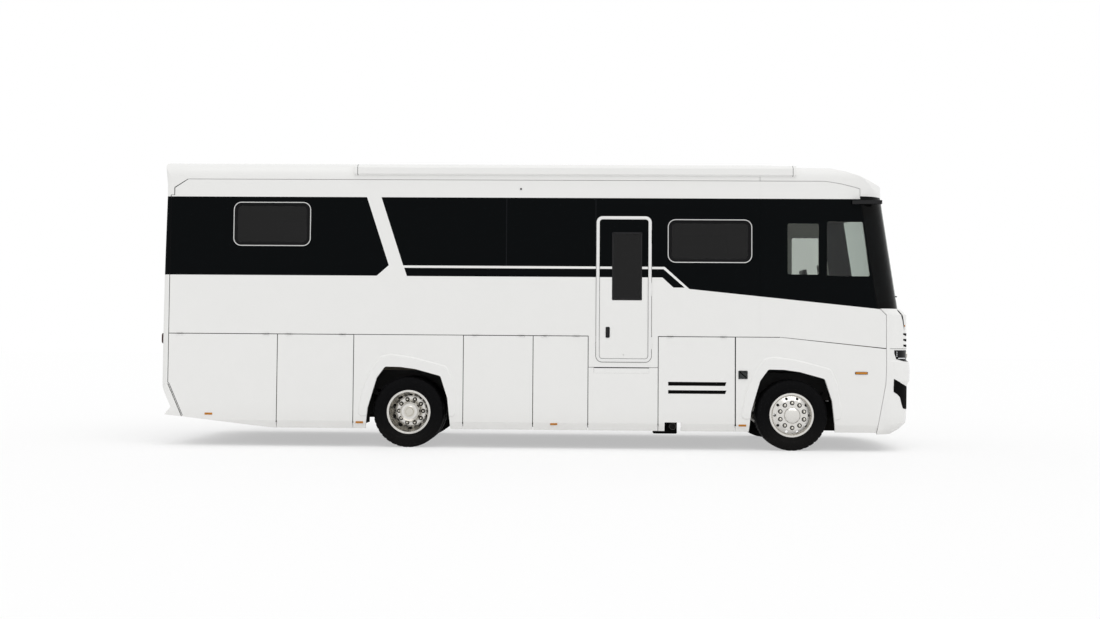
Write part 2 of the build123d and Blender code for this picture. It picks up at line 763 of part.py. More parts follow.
def hinge_stations(rear, front):
    """Middle stations of the two hinges of a flap."""
    return (rear + HINGE_INSET, front - HINGE_INSET)


DOOR_AXIS_X = DOOR_FRONT - 3
DOOR_HINGE_Z = (DOOR_LOW + 273, (DOOR_LOW + DOOR_HIGH) / 2 - 4, DOOR_HIGH - 281)

DOOR_GAP = 6
DOOR_W = DOOR_FRONT - DOOR_REAR - 2 * DOOR_GAP
DOOR_H = DOOR_HIGH - DOOR_LOW - 2 * DOOR_GAP
DOOR_WINDOW = (DOOR_REAR + 223, DOOR_FRONT - 138, DOOR_HIGH - 1146, DOOR_HIGH - 227)
with BuildPart() as entry_door:
    with BuildSketch(panel_plane(-1, WALL)):
        with Locations(((DOOR_REAR + DOOR_FRONT) / 2, (DOOR_LOW + DOOR_HIGH) / 2)):
            RectangleRounded(DOOR_W, DOOR_H, 84)
        with Locations(
            (
                (DOOR_WINDOW[0] + DOOR_WINDOW[1]) / 2,
                (DOOR_WINDOW[2] + DOOR_WINDOW[3]) / 2,
            )
        ):
            RectangleRounded(
                DOOR_WINDOW[1] - DOOR_WINDOW[0],
                DOOR_WINDOW[3] - DOOR_WINDOW[2],
                20,
                mode=Mode.SUBTRACT,
            )
    extrude(amount=WALL)
    for z in DOOR_HINGE_Z:
        for start in (z - 3 * KNUCKLE, z + KNUCKLE + 1):
            with BuildSketch(Plane.XY.offset(start)):
                with Locations((AXLE_X + DOOR_AXIS_X, -HINGE_Y)):
                    Circle(HINGE_R)
                with Locations((AXLE_X + DOOR_AXIS_X - LEAF_H / 2, -HALF - LEAF_T / 2)):
                    Rectangle(LEAF_H, LEAF_T)
            extrude(amount=2 * KNUCKLE - 1)
            with BuildSketch(Plane.XY.offset(start)):
                with Locations((AXLE_X + DOOR_AXIS_X, -HINGE_Y)):
                    Circle(PIN_R + SEAT_GAP)
            extrude(amount=2 * KNUCKLE - 1, mode=Mode.SUBTRACT)
entry_door.part.label = "entry_door"
export_step(entry_door.part, "parts/entry_door.step")

with BuildPart() as door_window:
    with BuildSketch(panel_plane(-1, GLASS, PANE_DEPTH)):
        with Locations(
            (
                (DOOR_WINDOW[0] + DOOR_WINDOW[1]) / 2,
                (DOOR_WINDOW[2] + DOOR_WINDOW[3]) / 2,
            )
        ):
            RectangleRounded(
                DOOR_WINDOW[1] - DOOR_WINDOW[0] - 2 * SEAT_GAP,
                DOOR_WINDOW[3] - DOOR_WINDOW[2] - 2 * SEAT_GAP,
                20,
            )
    extrude(amount=GLASS)
door_window.part.label = "door_window"
export_step(door_window.part, "parts/door_window.step")

# ---------------------------------------------------------------- skirt flaps and panels

def skirt_section(side, top):
    """Section of a skirt across the vehicle, its foot tucked in under the side."""
    outer = side * HALF
    inner = side * (HALF - SKIN)
    Polyline(
        (outer, top),
        (outer, SILL + SKIRT_TUCK_H),
        (outer - side * SKIRT_TUCK, SILL),
        (inner - side * SKIRT_TUCK, SILL),
        (inner, SILL + SKIRT_TUCK_H),
        (inner, top),
        close=True,
    )


LOUVRES = ((869, 921), (761, 809))
FLAP_ROWS = (
    # name, side, rear station, front station, top
    ("flap_right_1", -1, REAR_SEAM, SEAM_TAIL, FLAP_TOP),
    ("flap_right_2", -1, SEAM_TAIL, SEAM_ARCH_REAR, FLAP_TOP),
    ("flap_right_3", -1, SEAM_ARCH_FRONT, SEAM_MID, FLAP_TOP),
    ("flap_right_4", -1, SEAM_MID, SEAM_DOOR_REAR, FLAP_TOP),
    ("flap_right_5", -1, SEAM_DOOR_FRONT, SEAM_CAB, FLAP_TOP),
    ("flap_left_1", 1, REAR_SEAM, SEAM_TAIL, FLAP_TOP),
    ("flap_left_2", 1, SEAM_ARCH_FRONT, SEAM_DOOR_REAR, FLAP_TOP),
    ("flap_left_3", 1, SEAM_DOOR_FRONT, SEAM_CAB, FLAP_TOP),
)
for name, side, rear, front, top in FLAP_ROWS:
    with BuildPart() as flap:
        with BuildSketch(cross_plane(rear + FLAP_SEAM / 2)):
            with BuildLine():
                skirt_section(side, top - FLAP_SEAM)
            make_face()
        extrude(amount=front - rear - FLAP_SEAM)
        for middle in hinge_stations(rear, front):
            for start in (middle - KNUCKLE * 1.5, middle + KNUCKLE / 2 + 1):
                with BuildSketch(cross_plane(start)):
                    with Locations((side * HINGE_Y, HINGE_Z)):
                        Circle(HINGE_R)
                    with Locations((side * (HALF + LEAF_T / 2), HINGE_Z - LEAF_H / 2)):
                        Rectangle(LEAF_T, LEAF_H)
                extrude(amount=KNUCKLE - 1)
                with BuildSketch(cross_plane(start)):
                    with Locations((side * HINGE_Y, HINGE_Z)):
                        Circle(PIN_R + SEAT_GAP)
                extrude(amount=KNUCKLE - 1, mode=Mode.SUBTRACT)
        if rear == REAR_SEAM:
            with BuildSketch(side_plane(OUTSIDE)):
                with BuildLine():
                    Polyline(
                        (SEAM_TAIL, SILL - 8),
                        (REAR_SEAM + 208, 397),
                        (REAR_SEAM + 5, 855),
                        (REAR_SEAM - 50, 855),
                        (REAR_SEAM - 50, SILL - 60),
                        (SEAM_TAIL, SILL - 60),
                        close=True,
                    )
                make_face()
            extrude(amount=2 * OUTSIDE, mode=Mode.SUBTRACT)
        if name == "flap_right_5":
            # Cut-out for the tailpipe, and two louvre slots with raked front ends
            with BuildSketch(side_plane(0)):
                with Locations((PIPE_X, SILL + 30)):
                    Rectangle(223, 176)
                for low, high in LOUVRES:
                    with BuildLine():
                        Polyline(
                            (-1673, low),
                            (-903, low),
                            (-885, high),
                            (-1673, high),
                            close=True,
                        )
                    make_face()
            extrude(amount=OUTSIDE, mode=Mode.SUBTRACT)
    flap.part.label = name
    export_step(flap.part, f"parts/{name}.step")

with BuildPart() as hinge_pins:
    for name, side, rear, front, top in FLAP_ROWS:
        for middle in hinge_stations(rear, front):
            with BuildSketch(cross_plane(middle - KNUCKLE / 2)):
                with Locations((side * HINGE_Y, HINGE_Z)):
                    Circle(HINGE_R)
                with Locations((side * (HALF + SEAT_GAP + LEAF_T / 2), HINGE_Z + LEAF_H / 2)):
                    Rectangle(LEAF_T, LEAF_H)
            extrude(amount=KNUCKLE)
            with BuildSketch(cross_plane(middle - 1.5 * KNUCKLE)):
                with Locations((side * HINGE_Y, HINGE_Z)):
                    Circle(PIN_R)
            extrude(amount=3 * KNUCKLE)
    # The entry door's hinges stand upright
    for z in DOOR_HINGE_Z:
        with BuildSketch(Plane.XY.offset(z - KNUCKLE)):
            with Locations((AXLE_X + DOOR_AXIS_X, -HINGE_Y)):
                Circle(HINGE_R)
            with Locations((AXLE_X + DOOR_AXIS_X + LEAF_H / 2, -HALF - SEAT_GAP - LEAF_T / 2)):
                Rectangle(LEAF_H, LEAF_T)
        extrude(amount=2 * KNUCKLE)
        with BuildSketch(Plane.XY.offset(z - 3 * KNUCKLE)):
            with Locations((AXLE_X + DOOR_AXIS_X, -HINGE_Y)):
                Circle(PIN_R)
        extrude(amount=6 * KNUCKLE)
hinge_pins.part.label = "hinge_pins"
export_step(hinge_pins.part, "parts/hinge_pins.step")

# Fixed skirt pieces: under the entry door, and between the left flaps
FIXED_ROWS = (
    # side, rear station, front station, top
    (-1, SEAM_DOOR_REAR, SEAM_DOOR_FRONT, DROP_LOW),
    (1, SEAM_TAIL, SEAM_ARCH_REAR, FLAP_TOP),
    (1, SEAM_DOOR_REAR, SEAM_DOOR_FRONT, FLAP_TOP),
)
with BuildPart() as skirt_panels:
    for side, rear, front, top in FIXED_ROWS:
        with BuildSketch(cross_plane(rear + SEAM / 2)):
            with BuildLine():
                skirt_section(side, top - SEAM)
            make_face()
        extrude(amount=front - rear - SEAM)
    # Slot for the entry step
    with BuildSketch(side_plane(-HALF + SKIN + 20)):
        with Locations((STEP_X, (STEP_Z - 12 + DROP_LOW) / 2)):
            Rectangle(STEP_W + 50, DROP_LOW - STEP_Z + 12)
    extrude(amount=200, mode=Mode.SUBTRACT)
skirt_panels.part.label = "skirt_panels"
export_step(skirt_panels.part, "parts/skirt_panels.step")

with BuildPart() as entry_step:
    with BuildSketch(Plane.XY.offset(STEP_Z)):
        with Locations((AXLE_X + STEP_X, -HALF + 210)):
            Rectangle(STEP_W, 380)
    extrude(amount=STEP_T)
entry_step.part.label = "entry_step"
export_step(entry_step.part, "parts/entry_step.step")

# ---------------------------------------------------------------- wheel-arch panels

def flare_plane(side):
    """The body's side as a plane; extrusions of -side times a height stand out of it."""
    return side_plane(side * HALF)


ARCH_ROWS = (
    # part name, station of the wheel, rear seam, front seam
    ("front_arch_panels", 0, SEAM_CAB, None),
    ("rear_arch_panels", REAR_AXLE, SEAM_ARCH_REAR, SEAM_ARCH_FRONT),
)
for name, station, rear, front in ARCH_ROWS:
    with BuildPart() as arch_panels:
        for side in SIDES:
            with BuildSketch(cross_plane(rear + SEAM / 2)):
                with BuildLine():
                    skirt_section(side, FLAP_TOP - SEAM)
                make_face()
            end = BUMPER_CORNER if front is None else front - SEAM / 2
            extrude(amount=end - rear - SEAM / 2)
            with BuildSketch(flare_plane(side)):
                with BuildLine():
                    FilletPolyline(*[(station + x, z) for x, z in FLARE], radius=60, close=True)
                make_face()
            extrude(amount=-side * FLARE_T, taper=60)
        with BuildSketch(side_plane(OUTSIDE)):
            with BuildLine():
                FilletPolyline(*[(station + x, z) for x, z in ARCH], radius=ARCH_R, close=True)
            make_face()
            if front is None:
                with BuildLine():
                    Polyline(
                        *[(x - SEAM, z) for x, z in FRONT_SEAM[:-1]],
                        (MASK_CORNER - SEAM, CHEEK_SEAM + 5 - SEAM),
                        (-166, FLAP_TOP - SEAM),
                        (-166, FLAP_TOP + 100),
                        (BUMPER_CORNER + 100, FLAP_TOP + 100),
                        (BUMPER_CORNER + 100, SILL - 60),
                        (FRONT_SEAM[0][0] - SEAM, SILL - 60),
                        close=True,
                    )
                make_face()
        extrude(amount=2 * OUTSIDE, mode=Mode.SUBTRACT)
    arch_panels.part.label = name
    export_step(arch_panels.part, f"parts/{name}.step")

HOUSE_T = 12
HOUSE_IN = TRACK_HALF - 527
with BuildPart() as wheel_housings:
    for station, half_length, inner_y, roof_z in (
        (0, 650, HOUSE_IN, 1140),
        (REAR_AXLE, 600, HOUSE_IN, 1120),
    ):
        for side in SIDES:
            with BuildSketch(side_plane(PANEL_BACK if side > 0 else -inner_y)):
                with BuildLine():
                    Polyline(
                        (station - half_length, 420),
                        (station - half_length, roof_z - 160),
                        (station - half_length + 160, roof_z),
                        (station + half_length - 160, roof_z),
                        (station + half_length, roof_z - 160),
                        (station + half_length, 420),
                        (station + half_length - HOUSE_T, 420),
                        (station + half_length - HOUSE_T, roof_z - 165),
                        (station + half_length - 165, roof_z - HOUSE_T),
                        (station - half_length + 165, roof_z - HOUSE_T),
                        (station - half_length + HOUSE_T, roof_z - 165),
                        (station - half_length + HOUSE_T, 420),
                        close=True,
                    )
                make_face()
            extrude(amount=PANEL_BACK - inner_y)
wheel_housings.part.label = "wheel_housings"
export_step(wheel_housings.part, "parts/wheel_housings.step")

# ---------------------------------------------------------------- roof

SHOULDER_R = 200
CAP_REAR = CAB_SEAM


def roof_section(inset):
    """Section of the roof across the vehicle, drawn in by inset on its upper side."""
    y = HALF - inset
    top = ROOF_TOP - inset
    r = SHOULDER_R - inset
    low = WALL_TOP
    bend = top - r
    lean = r * (1 - cos(radians(45)))
    Line((-y, low), (-y, bend))
    ThreePointArc((-y, bend), (-y + lean, top - lean), (-y + r, top))
    Line((-y + r, top), (y - r, top))
    ThreePointArc((y - r, top), (y - lean, top - lean), (y, bend))
    Line((y, bend), (y, low))
    Line((y, low), (-y, low))


LIP_T = 20
LIP_Y = HALF - WALL - SEAT_GAP - LIP_T / 2
with BuildPart() as roof:
    with BuildSketch(cross_plane(ROOF_REAR)):
        with BuildLine():
            roof_section(0)
        make_face()
    extrude(amount=CAP_REAR - SEAM / 2 - ROOF_REAR)
    with BuildSketch(cross_plane(ROOF_REAR)):
        with BuildLine():
            roof_section(SHELL)
        make_face()
    extrude(amount=CAP_REAR - SEAM / 2 - ROOF_REAR, mode=Mode.SUBTRACT)
    # Lips that the side walls bear against
    with BuildSketch(cross_plane(ROOF_REAR + 67)):
        for side in SIDES:
            with Locations((side * LIP_Y, WALL_TOP + 25)):
                Rectangle(LIP_T, 170)
    extrude(amount=CAP_REAR - SEAM / 2 - ROOF_REAR - 67)
roof.part.label = "roof"
export_step(roof.part, "parts/roof.step")

# Cap over the cab: roof section and nose plan, cut to the falling side profile
CAP_LOW = GLASS_HEAD + SEAT_GAP
CAP_NOSE = GLASS_HEAD_CORNER + NOSE_REACH
CAP_BASE = GLASS_HEAD - 250
CAP_PROFILE = [
    (CAP_REAR + SEAM / 2, CAP_LOW),
    (CAP_REAR + SEAM / 2, ROOF_TOP + 10),
    (CAP_REAR + 100, ROOF_TOP + 10),
    (CAP_NOSE - 1500, ROOF_TOP - 38),
    (CAP_NOSE - 1200, ROOF_TOP - 51),
    (CAP_NOSE - 850, ROOF_TOP - 53),
    (CAP_NOSE - 630, ROOF_TOP - 104),
    (CAP_NOSE - 400, ROOF_TOP - 186),
    (CAP_NOSE - 240, ROOF_TOP - 243),
    (CAP_NOSE - 110, ROOF_TOP - 300),
    (CAP_NOSE - 50, ROOF_TOP - 345),
    (CAP_NOSE - 15, GLASS_HEAD + 60),
    (CAP_NOSE + 3, CAP_LOW),
]
# Rounding of the cap's top corners: reach from the corner's centre, height over the glass
CAP_CORNER = (
    (-4000, 4000),
    (0, 499),
    (234, 289),
    (291, 229),
    (320, 176),
    (344, 94),
    (353, 40),
    (354, -300),
)


def corner_block(side, inset):
    """Block under the rounded top corner on a side, drawn in by inset."""
    diagonal = Plane(
        origin=(AXLE_X + GLASS_HEAD_CORNER, side * (HALF - CORNER_R), GLASS_HEAD),
        x_dir=(1, side, 0),
        z_dir=(side, -1, 0),
    )
    with BuildPart() as block:
        with BuildSketch(diagonal):
            with BuildLine():
                rows = [(reach - inset, height - inset) for reach, height in CAP_CORNER]
                Polyline(*rows, (-4000 - inset, -300 - inset), close=True)
            make_face()
        extrude(amount=4000, both=True)
    return block.part


outer_corners = corner_block(-1, 0) & corner_block(1, 0)
inner_corners = corner_block(-1, SHELL) & corner_block(1, SHELL)
with BuildPart() as roof_cap:
    with BuildSketch(cross_plane(CAP_REAR + SEAM / 2)):
        with BuildLine():
            roof_section(0)
        make_face()
        with Locations((0, (WALL_TOP + CAP_LOW) / 2)):
            Rectangle(BODY_WIDTH, WALL_TOP - CAP_LOW)
    extrude(amount=CAP_NOSE + 100 - CAP_REAR)
    with BuildSketch(level_plane(CAP_BASE)):
        with BuildLine():
            nose_outline(GLASS_HEAD_CORNER, 0, -2000)
        make_face()
    extrude(amount=ROOF_TOP + 100 - CAP_BASE, mode=Mode.INTERSECT)
    with BuildSketch(side_plane(OUTSIDE)):
        with BuildLine():
            Polyline(*CAP_PROFILE, close=True)
        make_face()
    extrude(amount=2 * OUTSIDE, mode=Mode.INTERSECT)
    add(outer_corners, mode=Mode.INTERSECT)
    with BuildSketch(cross_plane(CAP_REAR - 10)):
        with BuildLine():
            roof_section(SHELL)
        make_face()
        with Locations((0, (WALL_TOP + GLASS_HEAD) / 2)):
            Rectangle(BODY_WIDTH - 2 * SHELL, WALL_TOP - GLASS_HEAD + 0.02)
    cavity = extrude(amount=CAP_NOSE - CAP_REAR, mode=Mode.PRIVATE)
    with BuildSketch(side_plane(OUTSIDE)):
        with BuildLine():
            Polyline(
                (CAP_REAR - 20, CAP_BASE),
                (CAP_REAR - 20, ROOF_TOP - SHELL),
                (CAP_REAR + 80, ROOF_TOP - SHELL),
                (CAP_NOSE - 1500, ROOF_TOP - 38 - SHELL),
                (CAP_NOSE - 1200, ROOF_TOP - 51 - SHELL),
                (CAP_NOSE - 860, ROOF_TOP - 53 - SHELL),
                (CAP_NOSE - 640, ROOF_TOP - 104 - SHELL),
                (CAP_NOSE - 255, ROOF_TOP - 243 - SHELL),
                (CAP_NOSE - 130, ROOF_TOP - 300 - SHELL),
                (CAP_NOSE - 65, GLASS_HEAD + 50),
                (CAP_NOSE - 47, CAP_BASE),
                close=True,
            )
        make_face()
    inner_profile = extrude(amount=2 * OUTSIDE, mode=Mode.PRIVATE)
    with BuildSketch(level_plane(CAP_BASE)):
        with BuildLine():
            nose_outline(GLASS_HEAD_CORNER, SHELL, -2000)
        make_face()
    inner_plan = extrude(amount=ROOF_TOP + 100 - CAP_BASE, mode=Mode.PRIVATE)
    add(cavity & inner_profile & inner_plan & inner_corners, mode=Mode.SUBTRACT)
    # Room for the cab sides below the cap's edge
    for side in SIDES:
        with BuildSketch(panel_plane(side, WALL + 1)):
            with BuildLine():
                Polyline(
                    (CAP_REAR - 20, CAP_BASE),
                    (CAP_REAR - 20, WALL_TOP),
                    *cab_head(0),
                    (GLASS_HEAD_CORNER, CAP_BASE),
                    close=True,
                )
            make_face()
        extrude(amount=WALL + 1, mode=Mode.SUBTRACT)
    with BuildSketch(cross_plane(CAP_REAR + SEAM / 2)):
        for side in SIDES:
            with Locations((side * LIP_Y, WALL_TOP + 25)):
                Rectangle(LIP_T, 170)
    extrude(amount=GLASS_HEAD_CORNER - CAP_REAR - 450)
roof_cap.part.label = "roof_cap"
export_step(roof_cap.part, "parts/roof_cap.step")

with BuildPart() as roof_hatches:
    for station in (REAR_AXLE - 1100, -3300, -1500):
        with BuildSketch(Plane.XY.offset(ROOF_TOP + SEAT_GAP)):
            with Locations((AXLE_X + station, 0)):
                RectangleRounded(700, 560, 60)
        extrude(amount=70, taper=12)
roof_hatches.part.label = "roof_hatches"
export_step(roof_hatches.part, "parts/roof_hatches.step")

# ---------------------------------------------------------------- front


def nose_block(levels, inset, back):
    """Solid that follows the nose through (height, corner station) levels."""
    with BuildPart() as block:
        for (z0, c0), (z1, c1) in zip(levels, levels[1:]):
            for z, c in ((z0, c0), (z1, c1)):
                with BuildSketch(level_plane(z)):
                    with BuildLine():
                        nose_outline(c, inset, back)
                    make_face()
            loft(ruled=True)
    return block.part


SCREEN_LEVELS = [(GLASS_FOOT, GLASS_FOOT_CORNER), (GLASS_HEAD, GLASS_HEAD_CORNER)]
screen_outer = nose_block(SCREEN_LEVELS, 0, NOSE_BACK - 200)
screen_inner = nose_block(SCREEN_LEVELS, GLASS, NOSE_BACK - 210)
with BuildPart() as windscreen:
    add(screen_outer)
    add(screen_inner, mode=Mode.SUBTRACT)
    with BuildSketch(side_plane(OUTSIDE)):
        with BuildLine():
            Polyline(
                (NOSE_BACK - 300, GLASS_FOOT - 10),
                (GLASS_FOOT_CORNER, GLASS_FOOT - 10),
                (GLASS_HEAD_CORNER, GLASS_HEAD + 10),
                (NOSE_BACK - 300, GLASS_HEAD + 10),
                close=True,
            )
        make_face()
    extrude(amount=2 * OUTSIDE, mode=Mode.SUBTRACT)
windscreen.part.label = "windscreen"
export_step(windscreen.part, "parts/windscreen.step")

MASK_LEVELS = [
    (CHEEK_SEAM, MASK_CORNER),
    (MASK_TOP - MASK_CHAMFER, MASK_CORNER),
    (MASK_TOP, MASK_CORNER - MASK_CHAMFER),
]
GRILLE_LOW = 1420
GRILLE_HIGH = 1690
GRILLE_Y = HALF - 630
SLATS = 4
SLAT_H = 26


def corner_at(levels, z):
    """Corner station of a levels table at a height between two of its rows."""
    for (z0, c0), (z1, c1) in zip(levels, levels[1:]):
        if z0 <= z <= z1:
            return c0 + (c1 - c0) * (z - z0) / (z1 - z0)
    return levels[-1][1]


mask_outer = nose_block(MASK_LEVELS, 0, NOSE_BACK)
mask_inner = nose_block(MASK_LEVELS, SHELL, NOSE_BACK - 10)
with BuildPart() as front_mask:
    add(mask_outer)
    add(mask_inner, mode=Mode.SUBTRACT)
    with BuildSketch(side_plane(OUTSIDE)):
        with BuildLine():
            Polyline(
                (NOSE_BACK - 100, 1000),
                (MASK_CORNER, 1000),
                (MASK_CORNER, MASK_TOP - MASK_CHAMFER),
                (MASK_CORNER - MASK_CHAMFER, MASK_TOP),
                (MASK_CORNER - MASK_CHAMFER, MASK_TOP + 50),
                (NOSE_BACK - 100, MASK_TOP + 50),
                close=True,
            )
        make_face()
    extrude(amount=2 * OUTSIDE, mode=Mode.SUBTRACT)
    with BuildSketch(Plane.YZ.offset(AXLE_X + MASK_CORNER)):
        with Locations((0, (GRILLE_LOW + GRILLE_HIGH) / 2)):
            Rectangle(2 * GRILLE_Y, GRILLE_HIGH - GRILLE_LOW)
    extrude(amount=700, mode=Mode.SUBTRACT)
front_mask.part.label = "front_mask"
export_step(front_mask.part, "parts/front_mask.step")

BUMPER_LEVELS = [
    (235, BUMPER_CORNER - 260),
    (300, BUMPER_CORNER - 150),
    (380, BUMPER_CORNER - 65),
    (460, BUMPER_CORNER - 52),
    (880, BUMPER_CORNER - 45),
    (955, BUMPER_CORNER - 7),
    (1095, BUMPER_CORNER),
    (1215, BUMPER_CORNER - 12),
    (1232, BUMPER_CORNER - 44),
    (CHEEK_SEAM - SEAT_GAP, BUMPER_CORNER - 45),
]
LAMP_LOW = 1242
LAMP_HIGH = 1370
LAMP_Y = (HALF - 560, HALF - 155)
INTAKE_LOW = 570
INTAKE_HIGH = 850
INTAKE_Y = HALF - 240
bumper_outer = nose_block(BUMPER_LEVELS, 0, NOSE_BACK)
bumper_inner = nose_block(BUMPER_LEVELS, SHELL, NOSE_BACK - 10)
with BuildPart() as front_bumper:
    add(bumper_outer)
    add(bumper_inner, mode=Mode.SUBTRACT)
    with BuildSketch(side_plane(OUTSIDE)):
        with BuildLine():
            Polyline(
                *FRONT_SEAM,
                (FRONT_SEAM[-1][0], 1500),
                (NOSE_BACK - 200, 1500),
                (NOSE_BACK - 200, 100),
                (FRONT_SEAM[0][0], 100),
                close=True,
            )
        make_face()
    extrude(amount=2 * OUTSIDE, mode=Mode.SUBTRACT)
    # Openings for the headlamps and the lower intake
    with BuildSketch(Plane.YZ.offset(AXLE_X + BUMPER_CORNER)):
        for side in SIDES:
            with Locations((side * sum(LAMP_Y) / 2, (LAMP_LOW + LAMP_HIGH) / 2)):
                Rectangle(LAMP_Y[1] - LAMP_Y[0], LAMP_HIGH - LAMP_LOW)
        with Locations((0, (INTAKE_LOW + INTAKE_HIGH) / 2)):
            Rectangle(2 * INTAKE_Y, INTAKE_HIGH - INTAKE_LOW)
    extrude(amount=700, mode=Mode.SUBTRACT)
front_bumper.part.label = "front_bumper"
export_step(front_bumper.part, "parts/front_bumper.step")


# Slatted grilles: one in the mask, one in the bumper's lower intake
GRILLE_ROWS = (
    # levels it follows, low height, high height, half width
    (MASK_LEVELS, GRILLE_LOW, GRILLE_HIGH, GRILLE_Y),
    (BUMPER_LEVELS, INTAKE_LOW, INTAKE_HIGH, INTAKE_Y),
)
grille_solids = []
for levels, low, high, half_w in GRILLE_ROWS:
    low = low + SEAT_GAP
    high = high - SEAT_GAP
    rows = [(low, corner_at(levels, low)), (high, corner_at(levels, high))]
    back = nose_block(rows, 26, NOSE_BACK) - nose_block(rows, SHELL, NOSE_BACK - 10)
    pitch = (high - low - SLAT_H) / (SLATS - 1)
    for i in range(SLATS):
        z0 = low + i * pitch
        slat = [(z0, corner_at(levels, z0)), (z0 + SLAT_H, corner_at(levels, z0 + SLAT_H))]
        back += nose_block(slat, 2, NOSE_BACK) - nose_block(slat, 30, NOSE_BACK - 10)
    window = Pos(AXLE_X + BUMPER_CORNER + 400, 0, 0) * Box(1100, 2 * half_w - 2 * SEAT_GAP, 4000)
    grille_solids.append(back & window)
with BuildPart() as grille:
    for solid in grille_solids:
        add(solid)
grille.part.label = "grille"
export_step(grille.part, "parts/grille.step")

lamp_rows = [
    (LAMP_LOW + SEAT_GAP, corner_at(BUMPER_LEVELS, LAMP_LOW + SEAT_GAP)),
    (LAMP_HIGH - SEAT_GAP, corner_at(BUMPER_LEVELS, LAMP_HIGH - SEAT_GAP)),
]
lamp_band = nose_block(lamp_rows, 3, NOSE_BACK) - nose_block(lamp_rows, SHELL, NOSE_BACK - 10)
lamp_solids = []
for side in SIDES:
    middle = side * sum(LAMP_Y) / 2
    width = LAMP_Y[1] - LAMP_Y[0] - 2 * SEAT_GAP
    room = Pos(AXLE_X + BUMPER_CORNER + 400, middle, 0) * Box(1100, width, 4000)
    lamp_solids.append(lamp_band & room)
with BuildPart() as headlamps:
    for solid in lamp_solids:
        add(solid)
headlamps.part.label = "headlamps"
export_step(headlamps.part, "parts/headlamps.step")

# Carrier behind the mask that ties the cab's front to the chassis rails
BEAM_T = 60
CARRIER_X = RAIL_FRONT + SEAT_GAP
BEAM_ROWS = (
    # levels of the piece it bears on, low height, high height, station of its ends
    (BUMPER_LEVELS, 1000, 1060, CARRIER_X),
    (MASK_LEVELS, 1720, 1780, MASK_CORNER - SEAM + 1),
)
beams = []
for levels, low, high, ends in BEAM_ROWS:
    rows = [(low, corner_at(levels, low)), (high, corner_at(levels, high))]
    outer = nose_block(rows, SHELL + SEAT_GAP, ends)
    beams.append(outer - nose_block(rows, SHELL + SEAT_GAP + BEAM_T, ends - 10))
with BuildPart() as front_carrier:
    with BuildSketch(Plane.XY.offset(RAIL_LOW)):
        with Locations((AXLE_X + CARRIER_X + 30, 0)):
            Rectangle(60, 2 * PANEL_BACK)
    extrude(amount=170)
    for beam in beams:
        add(beam)
    with BuildSketch(Plane.XY.offset(RAIL_LOW)):
        with Locations((AXLE_X + CARRIER_X + 225, -500), (AXLE_X + CARRIER_X + 225, 500)):
            Rectangle(450, 40)
    extrude(amount=FLOOR_TOP - RAIL_LOW)
    with BuildSketch(Plane.XY.offset(FLOOR_TOP)):
        with Locations((AXLE_X + MASK_CORNER + 274, -500), (AXLE_X + MASK_CORNER + 274, 500)):
            Rectangle(120, 40)
    extrude(amount=1780 - FLOOR_TOP)
    # Lug for towing at the front
    with BuildSketch(side_plane(30)):
        with BuildLine():
            Polyline(
                (CARRIER_X, 800),
                (CARRIER_X, TOW_Z - 20),
                (TOW_FRONT + 60, TOW_Z - 20),
                (TOW_FRONT + 60, TOW_Z + 20),
                (TOW_FRONT - 40, TOW_Z + 20),
                (CARRIER_X + 60, TOW_Z + 80),
                (CARRIER_X + 60, 800),
                close=True,
            )
        make_face()
    extrude(amount=60)
    with BuildSketch(level_plane(TOW_Z - 30)):
        with Locations((TOW_FRONT + 10, 0)):
            Circle(TOW_R)
    extrude(amount=160, mode=Mode.SUBTRACT)
    with BuildSketch(Plane.XY.offset(1000)):
        with Locations((AXLE_X + CARRIER_X + 450, -500), (AXLE_X + CARRIER_X + 450, 500)):
            Rectangle(100, 40)
    extrude(amount=60)
front_carrier.part.label = "front_carrier"
export_step(front_carrier.part, "parts/front_carrier.step")

# ---------------------------------------------------------------- rear

